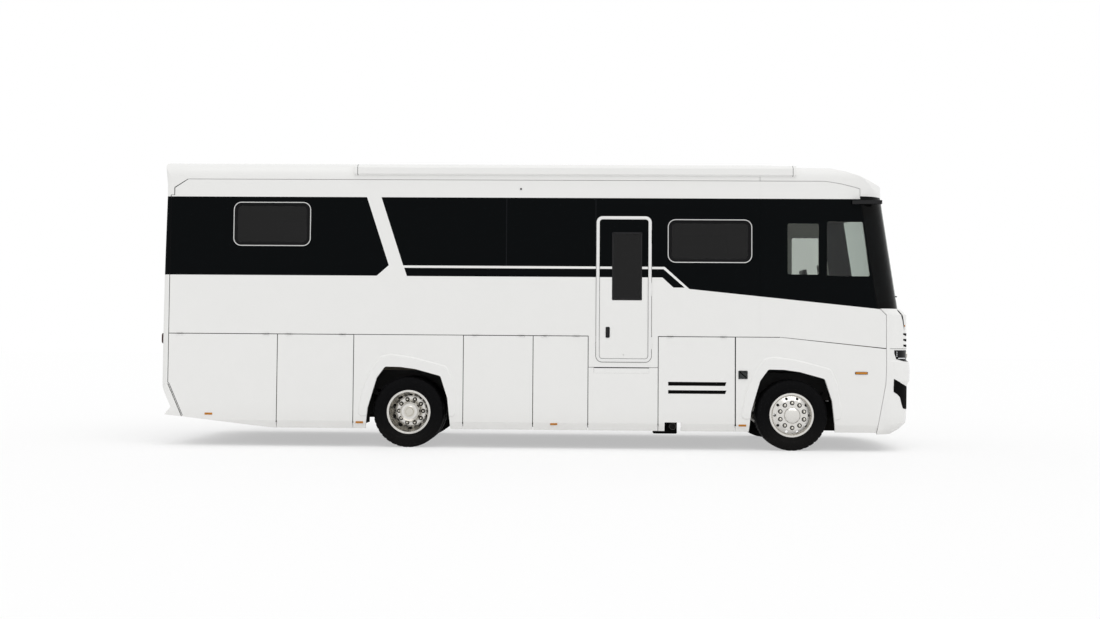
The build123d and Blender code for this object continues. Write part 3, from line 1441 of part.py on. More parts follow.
MASK_LOW = 838
KINK_Z = 2334
KINK_IN = 21
REAR_PROFILE = [
    (ROOF_REAR, ROOF_TOP),
    (REAR_FACE + 46, ROOF_TOP),
    (REAR_FACE + 17, ROOF_TOP - 12),
    (REAR_FACE + 8, ROOF_TOP - 38),
    (REAR_FACE + 50, ROOF_TOP - 320),
    (REAR_FACE + 51, ROOF_TOP - 465),
    (REAR_FACE + KINK_IN, KINK_Z),
    (REAR_FACE, MASK_LOW),
    (ROOF_REAR, MASK_LOW),
]
with BuildPart() as rear_mask:
    with BuildSketch(side_plane(OUTSIDE)):
        with BuildLine():
            Polyline(*REAR_PROFILE, close=True)
        make_face()
    extrude(amount=2 * OUTSIDE)
    with BuildSketch(cross_plane(REAR_FACE - 20)):
        with BuildLine():
            roof_section(0)
        make_face()
        with Locations((0, (MASK_LOW - 38 + WALL_TOP) / 2)):
            Rectangle(BODY_WIDTH, WALL_TOP - MASK_LOW + 38.02)
    extrude(amount=500, mode=Mode.INTERSECT)
    with BuildSketch(level_plane(MASK_LOW - 38)):
        with Locations((REAR_FACE + 300, 0)):
            RectangleRounded(600, BODY_WIDTH, 100)
    extrude(amount=ROOF_TOP, mode=Mode.INTERSECT)
    with BuildSketch(cross_plane(REAR_FACE + 60 + SHELL)):
        with BuildLine():
            roof_section(SHELL)
        make_face()
        with Locations((0, (MASK_LOW - 38 + WALL_TOP) / 2)):
            Rectangle(BODY_WIDTH - 2 * SHELL, WALL_TOP - MASK_LOW + 38.02)
    extrude(amount=500, mode=Mode.SUBTRACT)
    for side in SIDES:
        with BuildSketch(panel_plane(side, WALL + 30)):
            with BuildLine():
                Polyline(
                    (REAR_SEAM, 700),
                    (REAR_SEAM, WALL_TOP - 219),
                    (REAR_SEAM + 50, WALL_TOP - 219),
                    (REAR_SEAM + 50, WALL_TOP - 119),
                    (ROOF_REAR, WALL_TOP),
                    (REAR_SEAM + 300, WALL_TOP),
                    (REAR_SEAM + 300, 700),
                    close=True,
                )
            make_face()
        extrude(amount=WALL + 30, mode=Mode.SUBTRACT)
rear_mask.part.label = "rear_mask"
export_step(rear_mask.part, "parts/rear_mask.step")

with BuildPart() as rear_bumper:
    with BuildSketch(side_plane(HALF)):
        with BuildLine():
            Polyline(
                (REAR_FACE, MASK_LOW - SEAT_GAP),
                (REAR_FACE + 147, 527),
                (REAR_FACE + 57, 422),
                (REAR_FACE + 292, 397),
                (REAR_FACE + 97, MASK_LOW - SEAT_GAP),
                close=True,
            )
        make_face()
    extrude(amount=BODY_WIDTH)
    with BuildSketch(level_plane(300)):
        with Locations((REAR_FACE + 300, 0)):
            RectangleRounded(600, BODY_WIDTH, 100)
    extrude(amount=700, mode=Mode.INTERSECT)
rear_bumper.part.label = "rear_bumper"
export_step(rear_bumper.part, "parts/rear_bumper.step")

# Lamp pods that stand out of the rear corners
POD_Y = HALF - 115
POD_Z = 1462
with BuildPart() as tail_lamps:
    with BuildSketch(cross_plane(REAR_FACE - 26)):
        with Locations((-POD_Y, POD_Z), (POD_Y, POD_Z)):
            SlotOverall(150, 80, rotation=90)
    extrude(amount=26 + KINK_IN)
    fillet(tail_lamps.edges().group_by(Axis.X)[0], 20)
    with BuildSketch(side_plane(OUTSIDE)):
        with BuildLine():
            Polyline(
                (REAR_FACE - SEAT_GAP, MASK_LOW),
                (REAR_FACE + KINK_IN - SEAT_GAP, KINK_Z),
                (REAR_FACE + 300, KINK_Z),
                (REAR_FACE + 300, MASK_LOW),
                close=True,
            )
        make_face()
    extrude(amount=2 * OUTSIDE, mode=Mode.SUBTRACT)
tail_lamps.part.label = "tail_lamps"
export_step(tail_lamps.part, "parts/tail_lamps.step")

# ---------------------------------------------------------------- awning, mirrors, cab fittings

AWNING_REAR = REAR_AXLE - 767
AWNING_FRONT = 49
with BuildPart() as awning:
    with BuildSketch(cross_plane(AWNING_REAR)):
        with BuildLine():
            Polyline(
                (-HALF - SEAT_GAP, ROOF_TOP - 180),
                (-HALF - 30, ROOF_TOP - 160),
                (-HALF - 30, ROOF_TOP - 78),
                (-HALF - 10, ROOF_TOP - 46),
                (-HALF + 22, ROOF_TOP - 33),
                (-HALF + 75, ROOF_TOP - 24),
                (-HALF + 120, ROOF_TOP - 30),
                (-HALF + 40, ROOF_TOP - 90),
                (-HALF - SEAT_GAP, ROOF_TOP - 150),
                close=True,
            )
        make_face()
    extrude(amount=AWNING_FRONT - AWNING_REAR)
    with BuildSketch(cross_plane(AWNING_REAR - 10)):
        with BuildLine():
            roof_section(-SEAT_GAP)
        make_face()
    extrude(amount=AWNING_FRONT - AWNING_REAR + 20, mode=Mode.SUBTRACT)
awning.part.label = "awning"
export_step(awning.part, "parts/awning.step")

MIRROR_Z = GLASS_HEAD - 111
MIRROR_X = GLASS_HEAD_CORNER - 116
with BuildPart() as mirror_arms:
    for side in SIDES:
        with BuildSketch(Plane.XY.offset(MIRROR_Z)):
            with BuildLine():
                FilletPolyline(
                    (AXLE_X + MIRROR_X, side * (HALF + SEAT_GAP)),
                    (AXLE_X + MIRROR_X + 200, side * (HALF + SEAT_GAP)),
                    (AXLE_X + MIRROR_X + 390, side * (HALF + 30)),
                    (AXLE_X + MIRROR_X + 390, side * (HALF + 90)),
                    (AXLE_X + MIRROR_X + 270, side * (HALF + 90)),
                    (AXLE_X + MIRROR_X, side * (HALF + 40)),
                    radius=10,
                    close=True,
                )
            make_face()
        extrude(amount=50)
mirror_arms.part.label = "mirror_arms"
export_step(mirror_arms.part, "parts/mirror_arms.step")

SEAT_Y = 620
DASH_W = BODY_WIDTH - 500
DASH_REAR = FLOOR_FRONT + 12
with BuildPart() as dashboard:
    with BuildSketch(side_plane(DASH_W / 2)):
        with BuildLine():
            Polyline(
                (DASH_REAR, FLOOR_TOP + SEAT_GAP),
                (DASH_REAR + 288, FLOOR_TOP + SEAT_GAP),
                (DASH_REAR + 288, FLOOR_TOP + 430),
                (DASH_REAR + 98, FLOOR_TOP + 450),
                (DASH_REAR - 42, FLOOR_TOP + 400),
                (DASH_REAR - 52, FLOOR_TOP + 310),
                (DASH_REAR, FLOOR_TOP + 250),
                close=True,
            )
        make_face()
    extrude(amount=DASH_W)
    # Steering wheel on its column, on the left
    with Locations(Location((AXLE_X + DASH_REAR - 60, SEAT_Y, FLOOR_TOP + 720), (0, -30, 0))):
        Torus(215, 15)
        Box(20, 430, 20)
        Cylinder(50, 40)
        with Locations((0, 0, -180)):
            Cylinder(24, 360)
dashboard.part.label = "dashboard"
export_step(dashboard.part, "parts/dashboard.step")

SEAT_X = 600
with BuildPart() as seats:
    for side in SIDES:
        with BuildSketch(side_plane(side * SEAT_Y + 250)):
            with BuildLine():
                Polyline(
                    (SEAT_X - 40, FLOOR_TOP + SEAT_GAP),
                    (SEAT_X + 380, FLOOR_TOP + SEAT_GAP),
                    (SEAT_X + 380, FLOOR_TOP + 260),
                    (SEAT_X + 500, FLOOR_TOP + 330),
                    (SEAT_X + 500, FLOOR_TOP + 430),
                    (SEAT_X + 80, FLOOR_TOP + 450),
                    (SEAT_X - 20, FLOOR_TOP + 1120),
                    (SEAT_X - 120, FLOOR_TOP + 1120),
                    (SEAT_X - 60, FLOOR_TOP + 260),
                    (SEAT_X - 40, FLOOR_TOP + 260),
                    close=True,
                )
            make_face()
        extrude(amount=500)
seats.part.label = "seats"
export_step(seats.part, "parts/seats.step")
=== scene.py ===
import json
from math import cos, pi, radians, sin

import bmesh
import bpy
from mathutils import Matrix, Vector
from mathutils.bvhtree import BVHTree

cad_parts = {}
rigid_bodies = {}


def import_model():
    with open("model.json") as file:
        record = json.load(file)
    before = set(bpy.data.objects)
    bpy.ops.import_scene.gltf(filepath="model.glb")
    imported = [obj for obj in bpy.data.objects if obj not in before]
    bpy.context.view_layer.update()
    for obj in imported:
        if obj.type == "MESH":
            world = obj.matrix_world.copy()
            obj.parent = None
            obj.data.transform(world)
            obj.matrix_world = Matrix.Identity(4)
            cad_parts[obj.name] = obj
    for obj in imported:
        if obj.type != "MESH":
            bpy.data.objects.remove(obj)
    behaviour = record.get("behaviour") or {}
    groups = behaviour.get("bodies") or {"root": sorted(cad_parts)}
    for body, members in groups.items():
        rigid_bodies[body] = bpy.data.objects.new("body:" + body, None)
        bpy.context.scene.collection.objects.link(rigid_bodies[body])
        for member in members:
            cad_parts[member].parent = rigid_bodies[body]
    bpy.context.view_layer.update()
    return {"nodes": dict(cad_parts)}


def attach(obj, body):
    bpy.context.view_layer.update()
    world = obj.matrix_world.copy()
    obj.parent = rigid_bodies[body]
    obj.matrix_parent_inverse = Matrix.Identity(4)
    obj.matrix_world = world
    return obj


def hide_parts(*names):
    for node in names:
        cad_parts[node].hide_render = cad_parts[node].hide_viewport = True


# ---------------------------------------------------------------- the solid model
# The motorhome stands with its nose to +X and its right side to -Y, wheels on Z 0.
# Everything below is placed from its front axle and from its flat sides.
for leftover in list(bpy.data.objects):
    bpy.data.objects.remove(leftover)
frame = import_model()
nodes = frame["nodes"]
AXLE = 3.435
SIDE = 1.250

# ---------------------------------------------------------------- camera
# A long lens at standing eye level, a vehicle's length and a half off the right side,
# turned a little towards the tail and held almost level.
EYE = Vector((0.4797, -16.5253, 1.4792))
TURN, RISE, ROLL = radians(-1.4035), radians(1.992), radians(0.4094)
LENS_PX = 1124.07
FRAME_PX = (1100, 619)
LENS_CENTRE_PX = (546.33, 300.54)
SENSOR_WIDTH = 36
ahead = Vector((sin(TURN) * cos(RISE), cos(TURN) * cos(RISE), sin(RISE)))
level = Vector((cos(TURN), -sin(TURN), 0))
upright = level.cross(ahead)
right = level * cos(ROLL) + upright * sin(ROLL)
upwards = upright * cos(ROLL) - level * sin(ROLL)
camera = bpy.data.objects.new("camera", bpy.data.cameras.new("camera"))
bpy.context.scene.collection.objects.link(camera)
camera.matrix_world = Matrix.Translation(EYE) @ Matrix((right, upwards, -ahead)).transposed().to_4x4()
camera.data.sensor_width = SENSOR_WIDTH
camera.data.lens = SENSOR_WIDTH * LENS_PX / FRAME_PX[0]
camera.data.shift_x = (FRAME_PX[0] / 2 - LENS_CENTRE_PX[0]) / FRAME_PX[0]
camera.data.shift_y = (LENS_CENTRE_PX[1] - FRAME_PX[1] / 2) / FRAME_PX[0]
camera.data.clip_end = 200
bpy.context.scene.camera = camera

# ---------------------------------------------------------------- studio
# A white cove: an even sky all round, a broad lamp overhead for the roof and the contact
# shadow, and a pale floor that keeps that shadow.
SKY_LEVEL = 0.78
LAMP_LEVEL = 1.0
SHADOW_FILL = 0.47
FLOOR_GREY = 0.93
FLOOR_REACH = 90
world = bpy.data.worlds.new("studio")
world.use_nodes = True
bpy.context.scene.world = world
bpy.context.scene.view_settings.view_transform = "Standard"


def feed(tree, socket, value):
    """Links a socket to a value's node, or sets it where the value is plain."""
    if isinstance(value, bpy.types.NodeSocket):
        tree.links.new(value, socket)
    else:
        socket.default_value = value


def reckon(tree, operation, *values):
    """One Math node on its values."""
    step = tree.nodes.new("ShaderNodeMath")
    step.operation = operation
    for socket, value in zip(step.inputs, values):
        feed(tree, socket, value)
    return step.outputs[0]


def slide(tree, value, low, high, start, end):
    """A value that goes from start to end as the given one goes from low to high."""
    step = tree.nodes.new("ShaderNodeMapRange")
    for socket, given in zip(step.inputs, (value, low, high, start, end)):
        feed(tree, socket, given)
    return step.outputs[0]


def blank_material(name):
    """A new material with its tree and its shader."""
    material = bpy.data.materials.new(name)
    material.use_nodes = True
    return material, material.node_tree, material.node_tree.nodes["Principled BSDF"]


def place_in(tree):
    """The x, y and z of each point of an object."""
    parts = tree.nodes.new("ShaderNodeSeparateXYZ")
    tree.links.new(tree.nodes.new("ShaderNodeTexCoord").outputs["Object"], parts.inputs[0])
    return parts.outputs


def in_sight(tree):
    """1 for rays from the eye, straight, mirrored or through glass, and 0 for the rest."""
    rays = tree.nodes.new("ShaderNodeLightPath")
    kinds = [rays.outputs[f"Is {kind} Ray"] for kind in ("Camera", "Glossy", "Transmission")]
    return reckon(tree, "MAXIMUM", reckon(tree, "MAXIMUM", *kinds[:2]), kinds[2])


cove = world.node_tree
cove.nodes["Background"].inputs["Color"].default_value = (1, 1, 1, 1)
feed(cove, cove.nodes["Background"].inputs["Strength"], slide(cove, in_sight(cove), 0, 1, SKY_LEVEL, 1))

lamp = bpy.data.objects.new("overhead", bpy.data.lights.new("overhead", "SUN"))
lamp.data.energy = LAMP_LEVEL
lamp.data.angle = radians(60)
lamp.rotation_euler = (radians(24), radians(10), 0)
bpy.context.scene.collection.objects.link(lamp)

floor_sheet, tree, floor_shader = blank_material("studio_floor")
seen = in_sight(tree)
grey = reckon(tree, "MULTIPLY", FLOOR_GREY, slide(tree, seen, 0, 1, 1, 1 - SHADOW_FILL))
whole = tree.nodes.new("ShaderNodeCombineColor")
for channel in whole.inputs[:3]:
    feed(tree, channel, grey)
feed(tree, floor_shader.inputs["Base Color"], whole.outputs[0])
floor_shader.inputs["Emission Color"].default_value = (1, 1, 1, 1)
feed(tree, floor_shader.inputs["Emission Strength"], reckon(tree, "MULTIPLY", seen, SHADOW_FILL))
floor_shader.inputs["Roughness"].default_value = 1
floor_shader.inputs["Specular IOR Level"].default_value = 0
floor_mesh = bpy.data.meshes.new("studio_floor")
corners = [(FLOOR_REACH * x, FLOOR_REACH * y, 0) for x, y in ((-1, -1), (1, -1), (1, 1), (-1, 1))]
floor_mesh.from_pydata(corners, [], [(0, 1, 2, 3)])
floor_mesh.materials.append(floor_sheet)
studio_floor = bpy.data.objects.new("studio_floor", floor_mesh)
bpy.context.scene.collection.objects.link(studio_floor)

# ---------------------------------------------------------------- coachwork paint
# Bonded sandwich panels sprayed warm white, with a gloss black band along both sides and
# round the tail. The band breaks in a slanted white stripe, steps over a thin white line,
# and runs down to the nose. The same panels show their pale lining inside.


def effect(name, given, results):
    """An empty shader group with named inputs and outputs."""
    group = bpy.data.node_groups.new(name, "ShaderNodeTree")
    for label, kind, value in given:
        group.interface.new_socket(label, in_out="INPUT", socket_type=kind).default_value = value
    for label, kind in results:
        group.interface.new_socket(label, in_out="OUTPUT", socket_type=kind)
    return group, group.nodes.new("NodeGroupInput"), group.nodes.new("NodeGroupOutput")


def place_effect(tree, group, **values):
    """The group in a material, with its values by name."""
    node = tree.nodes.new("ShaderNodeGroup")
    node.node_tree = group
    for label, value in values.items():
        feed(tree, node.inputs[label.replace("_", " ")], value)
    return node


def blend_colours(tree, mask, first, second):
    """The first colour where the mask is 0, the second where it is 1."""
    mix = tree.nodes.new("ShaderNodeMix")
    mix.data_type = "RGBA"
    feed(tree, mix.inputs[0], mask)
    for socket, colour in ((mix.inputs[6], first), (mix.inputs[7], second)):
        feed(tree, socket, colour if isinstance(colour, bpy.types.NodeSocket) else (*colour, 1))
    return mix.outputs[2]


# Road film: an uneven veil of dust that thickens towards the ground, a fine grain for
# the gloss, and a height for the bump. On the white paints the veil is also painted
# shade, darkening the tucked-in lower edge of the skirts.
road_film, given, result = effect(
    "road_film",
    (
        ("Colour", "NodeSocketColor", (1, 1, 1, 1)),
        ("Dust Colour", "NodeSocketColor", (0.42, 0.38, 0.33, 1)),
        ("Dust", "NodeSocketFloat", 0.2),
        ("Dust Height", "NodeSocketFloat", 0.9),
        ("Grain Scale", "NodeSocketFloat", 60),
        ("Roughness", "NodeSocketFloat", 0.3),
        ("Unevenness", "NodeSocketFloat", 0.1),
        ("Mottle", "NodeSocketFloat", 0.03),
    ),
    (("Colour", "NodeSocketColor"), ("Roughness", "NodeSocketFloat"), ("Height", "NodeSocketFloat")),
)
place = road_film.nodes.new("ShaderNodeTexCoord").outputs["Object"]
parts = road_film.nodes.new("ShaderNodeSeparateXYZ")
road_film.links.new(place, parts.inputs[0])
grain = road_film.nodes.new("ShaderNodeTexNoise")
patches = road_film.nodes.new("ShaderNodeTexNoise")
feed(road_film, grain.inputs["Vector"], place)
feed(road_film, grain.inputs["Scale"], given.outputs["Grain Scale"])
grain.inputs["Detail"].default_value = 4
feed(road_film, patches.inputs["Vector"], place)
patches.inputs["Scale"].default_value = 2.3
patches.inputs["Detail"].default_value = 5
low_dust_and_shade = slide(road_film, parts.outputs[2], 0.15, given.outputs["Dust Height"], 1, 0)
low_dust_and_shade = reckon(road_film, "POWER", low_dust_and_shade, 1.6)
cloudy = slide(road_film, patches.outputs[0], 0.3, 0.7, 0.55, 1)
dust_and_shade_veil = reckon(road_film, "MULTIPLY", low_dust_and_shade, cloudy)
dust_and_shade_veil = reckon(road_film, "MULTIPLY", dust_and_shade_veil, given.outputs["Dust"])
dusty = blend_colours(road_film, dust_and_shade_veil, given.outputs["Colour"], given.outputs["Dust Colour"])
spread = reckon(road_film, "SUBTRACT", patches.outputs[0], 0.5)
spread = reckon(road_film, "MULTIPLY", spread, given.outputs["Mottle"])
hue = road_film.nodes.new("ShaderNodeHueSaturation")
feed(road_film, hue.inputs["Color"], dusty)
feed(road_film, hue.inputs["Value"], reckon(road_film, "ADD", spread, 1))
feed(road_film, result.inputs["Colour"], hue.outputs[0])
ragged = reckon(road_film, "SUBTRACT", grain.outputs[0], 0.5)
ragged = reckon(road_film, "MULTIPLY", ragged, given.outputs["Unevenness"])
duller = reckon(road_film, "ADD", given.outputs["Roughness"], ragged)
duller = reckon(road_film, "ADD", duller, reckon(road_film, "MULTIPLY", dust_and_shade_veil, 0.5))
feed(road_film, result.inputs["Roughness"], duller)
feed(road_film, result.inputs["Height"], grain.outputs[0])

# The band's outline, from heights and stations in the flat of the side
livery, given, result = effect(
    "livery",
    (("Band Top", "NodeSocketFloat", 3.413), ("Band Foot", "NodeSocketFloat", 2.336)),
    (("Band", "NodeSocketFloat"), ("Lining", "NodeSocketFloat"), ("Seams", "NodeSocketFloat")),
)
ahead, across, height = place_in(livery)
station = reckon(livery, "SUBTRACT", ahead, AXLE)


def both(tree, *masks):
    """The mask where all of these are 1."""
    whole = masks[0]
    for mask in masks[1:]:
        whole = reckon(tree, "MULTIPLY", whole, mask)
    return whole


def over(tree, value, limit):
    """1 where the value is above its limit."""
    return reckon(tree, "GREATER_THAN", value, limit)


def under(tree, value, limit):
    """1 where the value is below its limit."""
    return reckon(tree, "LESS_THAN", value, limit)


def falling(tree, start, value, *ramp):
    """A line of the livery: its start, less what a ramp over the value takes away."""
    return reckon(tree, "SUBTRACT", start, slide(tree, value, *ramp))


BAND_SEAMS = (-3.879, -2.662)
below_top = under(livery, height, given.outputs["Band Top"])
tail_edge = falling(livery, -5.486, height, 2.480, 3.414, 0, 0.310)
tail_edge = falling(livery, tail_edge, height, 2.337, 2.480, 0.163, 0)
above_foot = over(livery, height, given.outputs["Band Foot"])
tail_band = both(livery, below_top, above_foot, under(livery, station, tail_edge))
stripe_edge = falling(livery, -5.290, height, 2.481, 3.412, 0, 0.307)
band_foot = falling(livery, 2.4785, station, -1.725, -1.389, 0, 0.2995)
band_foot = falling(livery, band_foot, station, -1.389, 1.220, 0, 0.261)
main_band = both(livery, below_top, over(livery, station, stripe_edge), over(livery, height, band_foot))
lower_top = falling(livery, 2.4465, station, -1.740, -1.452, 0, 0.250)
lower_foot = falling(livery, 2.3335, station, -1.755, -1.606, 0, 0.136)
lower_end = reckon(livery, "ADD", -5.2755, slide(livery, height, 2.335, 2.448, 0.0385, 0))
lower_band = both(
    livery, under(livery, height, lower_top), over(livery, height, lower_foot),
    over(livery, station, lower_end), under(livery, station, -1.452),
)
band = reckon(livery, "MAXIMUM", reckon(livery, "MAXIMUM", tail_band, main_band), lower_band)
feed(livery, result.inputs["Band"], band)
inner = both(
    livery, under(livery, reckon(livery, "ABSOLUTE", across), SIDE - 0.021),
    over(livery, station, -8.510), over(livery, height, 1.400), under(livery, height, 3.600),
)
feed(livery, result.inputs["Lining"], inner)
seam = reckon(livery, "MAXIMUM", *(
    under(livery, reckon(livery, "ABSOLUTE", reckon(livery, "SUBTRACT", station, line)), 0.004)
    for line in BAND_SEAMS
))
feed(livery, result.inputs["Seams"], both(livery, seam, main_band))
film_inputs = {socket.name for socket in road_film.interface.items_tree if socket.in_out == "INPUT"}


def road_finish(name, colour, roughness, metallic=0, bump=0.1, **values):
    """A material with grain, uneven gloss and a veil of dust over its colour, which on the white paints is
    also painted shade low down.
    """
    material, tree, shader = blank_material(name)
    coating = place_effect(tree, road_film, Colour=(*colour, 1), Roughness=roughness)
    feed(tree, shader.inputs["Base Color"], coating.outputs["Colour"])
    feed(tree, shader.inputs["Roughness"], coating.outputs["Roughness"])
    relief = tree.nodes.new("ShaderNodeBump")
    relief.inputs["Strength"].default_value = bump
    relief.inputs["Distance"].default_value = 0.002
    feed(tree, relief.inputs["Height"], coating.outputs["Height"])
    feed(tree, shader.inputs["Normal"], relief.outputs[0])
    shader.inputs["Metallic"].default_value = metallic
    for label, value in values.items():
        label = label.replace("_", " ")
        (coating if label in film_inputs else shader).inputs[label].default_value = value
    return material


def dress(material, *names):
    """Gives solid parts their finish."""
    for name in names:
        nodes[name].material_slots[0].material = material


WARM_WHITE = (0.800, 0.798, 0.785)
BAND_BLACK = (0.0022, 0.0029, 0.0033)
LINING = (0.62, 0.60, 0.56)
SEAM_GREY = (0.014, 0.015, 0.017)
JOINT_BLACK = (0.004, 0.004, 0.004)
JOINT_FOOT, JOINT_TOP = 1.5270, 1.5375


def recoat(material, paint):
    """Paint in a material's film, with the long joint under the panels run on over it."""
    tree = material.node_tree
    _, across, height = place_in(tree)
    outside = over(tree, reckon(tree, "ABSOLUTE", across), SIDE + 0.0008)
    joint = both(tree, outside, over(tree, height, JOINT_FOOT), under(tree, height, JOINT_TOP))
    coating = next(n for n in tree.nodes if n.type == "GROUP" and n.node_tree == road_film)
    feed(tree, coating.inputs["Colour"], blend_colours(tree, joint, paint, JOINT_BLACK))
    return coating


# The dust veil low down on this paint and the next is also painted shade: it darkens the skirts' tucked-in
# lower edge.
coach_paint = road_finish(
    "coach_paint", WARM_WHITE, 0.2, bump=0.02, Dust=0.2, Dust_Height=0.62, Mottle=0.02,
    Specular_IOR_Level=0.03,
)
tree = coach_paint.node_tree
marks = place_effect(tree, livery)
painted = blend_colours(tree, marks.outputs["Band"], WARM_WHITE, BAND_BLACK)
painted = blend_colours(tree, marks.outputs["Seams"], painted, SEAM_GREY)
painted = blend_colours(tree, marks.outputs["Lining"], painted, LINING)
coating = recoat(coach_paint, painted)
gloss = slide(tree, marks.outputs["Band"], 0, 1, 0.22, 0.10)
matt = reckon(tree, "MULTIPLY", marks.outputs["Lining"], 0.7)
feed(tree, coating.inputs["Roughness"], reckon(tree, "MAXIMUM", gloss, matt))
# Its low dust veil is also painted shade along the skirts' tucked-in lower edge.
plain_paint = road_finish(
    "plain_paint", WARM_WHITE, 0.22, bump=0.02, Dust=0.2, Dust_Height=0.62, Mottle=0.02,
    Specular_IOR_Level=0.2,
)
recoat(plain_paint, WARM_WHITE)
flaps = [f"flap_right_{n}" for n in range(1, 6)] + [f"flap_left_{n}" for n in range(1, 4)]
dress(
    coach_paint, "wall_right", "wall_left", "cab_side_right", "cab_side_left", "entry_door",
    "rear_mask", "hinge_pins",
)
dress(
    plain_paint, *flaps, "skirt_panels", "front_arch_panels", "rear_arch_panels", "front_bumper",
    "front_mask", "rear_bumper", "roof", "roof_cap", "awning",
)

# ---------------------------------------------------------------- glazing
# The living windows and the door's are dark acrylic, the cab's panes are lightly tinted
# glass, and the windscreen is one sheet with a wide black border baked on.


def glazing(name, ior):
    """Clear glass, with the sockets of its place for a tint that changes over it."""
    material, tree, shader = blank_material(name)
    shader.inputs["Roughness"].default_value = 0.02
    shader.inputs["IOR"].default_value = ior
    shader.inputs["Transmission Weight"].default_value = 1
    return material, tree, shader, place_in(tree)


SMOKED = (0.016, 0.016, 0.018)
CLEAR_TINT = (0.60, 0.63, 0.60)
SCREEN_TINT = (0.55, 0.60, 0.57)
SCREEN_HALF, SCREEN_FOOT, SCREEN_TOP = 1.06, 2.06, 3.33
side_glass, tree, shader, xyz = glazing("side_glass", 1.33)
cab_end = over(tree, xyz[0], AXLE - 0.3)
feed(tree, shader.inputs["Base Color"], blend_colours(tree, cab_end, SMOKED, CLEAR_TINT))
dress(side_glass, "side_windows", "door_window")

screen_glass, tree, shader, xyz = glazing("screen_glass", 1.2)
view_through = both(
    tree, under(tree, reckon(tree, "ABSOLUTE", xyz[1]), SCREEN_HALF),
    over(tree, xyz[2], SCREEN_FOOT), under(tree, xyz[2], SCREEN_TOP),
)
feed(tree, shader.inputs["Base Color"], blend_colours(tree, view_through, BAND_BLACK, SCREEN_TINT))
dress(screen_glass, "windscreen")

# ---------------------------------------------------------------- living windows
# Each opens as a hinged acrylic sash: a pale aluminium frame round it, clamped on the
# panel, and a black rubber gasket that holds the pane.
SIDES = ((-1, "right"), (1, "left"))


def clean_mesh(name, verts, faces):
    """A mesh with doubled corners joined and its faces turned outward."""
    mesh = bpy.data.meshes.new(name)
    mesh.from_pydata(verts, [], faces)
    form = bmesh.new()
    form.from_mesh(mesh)
    bmesh.ops.remove_doubles(form, verts=form.verts, dist=1e-5)
    bmesh.ops.recalc_face_normals(form, faces=form.faces)
    form.to_mesh(mesh)
    form.free()
    return mesh


def smoothed(mesh):
    """The mesh, with all its faces smooth."""
    for face in mesh.polygons:
        face.use_smooth = True
    return mesh


def set_down(name, mesh, body):
    """An object of the mesh in its place, riding on a body."""
    piece = bpy.data.objects.new(name, mesh)
    bpy.context.scene.collection.objects.link(piece)
    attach(piece, body)
    return piece


def bands(rows, around):
    """The faces between rows of points that each run round a loop."""
    faces = []
    for j in range(rows - 1):
        for s in range(around):
            t = (s + 1) % around
            faces.append((j * around + s, j * around + t, (j + 1) * around + t, (j + 1) * around + s))
    return faces


def make_piece(name, verts, faces, material, body, crease=35):
    """A closed mesh in its place, smooth but for its sharp edges, riding on a body."""
    mesh = clean_mesh(name, verts, faces)
    for face in mesh.polygons:
        face.use_smooth = len(face.vertices) < 5
    mesh.set_sharp_from_angle(angle=radians(crease))
    mesh.materials.append(material)
    return set_down(name, mesh, body)


def rounded_path(width, height, radius, steps=8):
    """Points round a rectangle with round corners, each with its outward direction."""
    path = []
    for quarter, (sx, sz) in enumerate(((1, 1), (-1, 1), (-1, -1), (1, -1))):
        for step in range(steps + 1):
            angle = (quarter + step / steps) * pi / 2
            x = sx * (width / 2 - radius) + radius * cos(angle)
            z = sz * (height / 2 - radius) + radius * sin(angle)
            path.append((x, z, cos(angle), sin(angle)))
    return path


def moulding(name, centre, size, radius, section, side, material, body):
    """A strip round an opening: section rows are (out along the panel, proud of the side)."""
    path = rounded_path(*size, radius)
    verts, faces = [], []
    for x, z, nx, nz in path:
        for out, proud in section:
            verts.append((centre[0] + x + nx * out, side * (SIDE + proud), centre[1] + z + nz * out))
    rows = len(section)
    for i in range(len(path)):
        after = (i + 1) % len(path)
        for j in range(rows):
            k = (j + 1) % rows
            faces.append((i * rows + j, i * rows + k, after * rows + k, after * rows + j))
    return make_piece(name, verts, faces, material, body)


pale_frame = road_finish("pale_frame", (0.66, 0.66, 0.65), 0.35, bump=0.05, Dust=0.1)
rubber = road_finish(
    "rubber_seal", (0.0045, 0.0045, 0.005), 0.6, bump=0.3, Dust=0.05, Grain_Scale=300,
    Specular_IOR_Level=0.1,
)
FRAME_SECTION = (
    (-0.001, -0.0036), (-0.001, 0.003), (-0.003, 0.006), (-0.009, 0.006), (-0.012, 0.004), (-0.013, -0.0036),
)
GASKET_SECTION = (
    (-0.0135, -0.0036), (-0.0135, 0.002), (-0.022, 0.003), (-0.052, 0.001), (-0.058, -0.0036),
)
SASH = (("frame", FRAME_SECTION, pale_frame), ("gasket", GASKET_SECTION, rubber))
WINDOW_CORNER = 0.108
WINDOWS = (
    # centre station, centre height, width, height
    ("rear", -7.097, 3.0390, 1.068, 0.607),
    ("front", -1.113, 2.8320, 1.145, 0.594),
)
for label, x, z, *size in WINDOWS:
    for side, hand in SIDES:
        for part, section, finish in SASH:
            name = f"window_{part}_{label}_{hand}"
            moulding(name, (AXLE + x, z), size, WINDOW_CORNER, section, side, finish, "body")

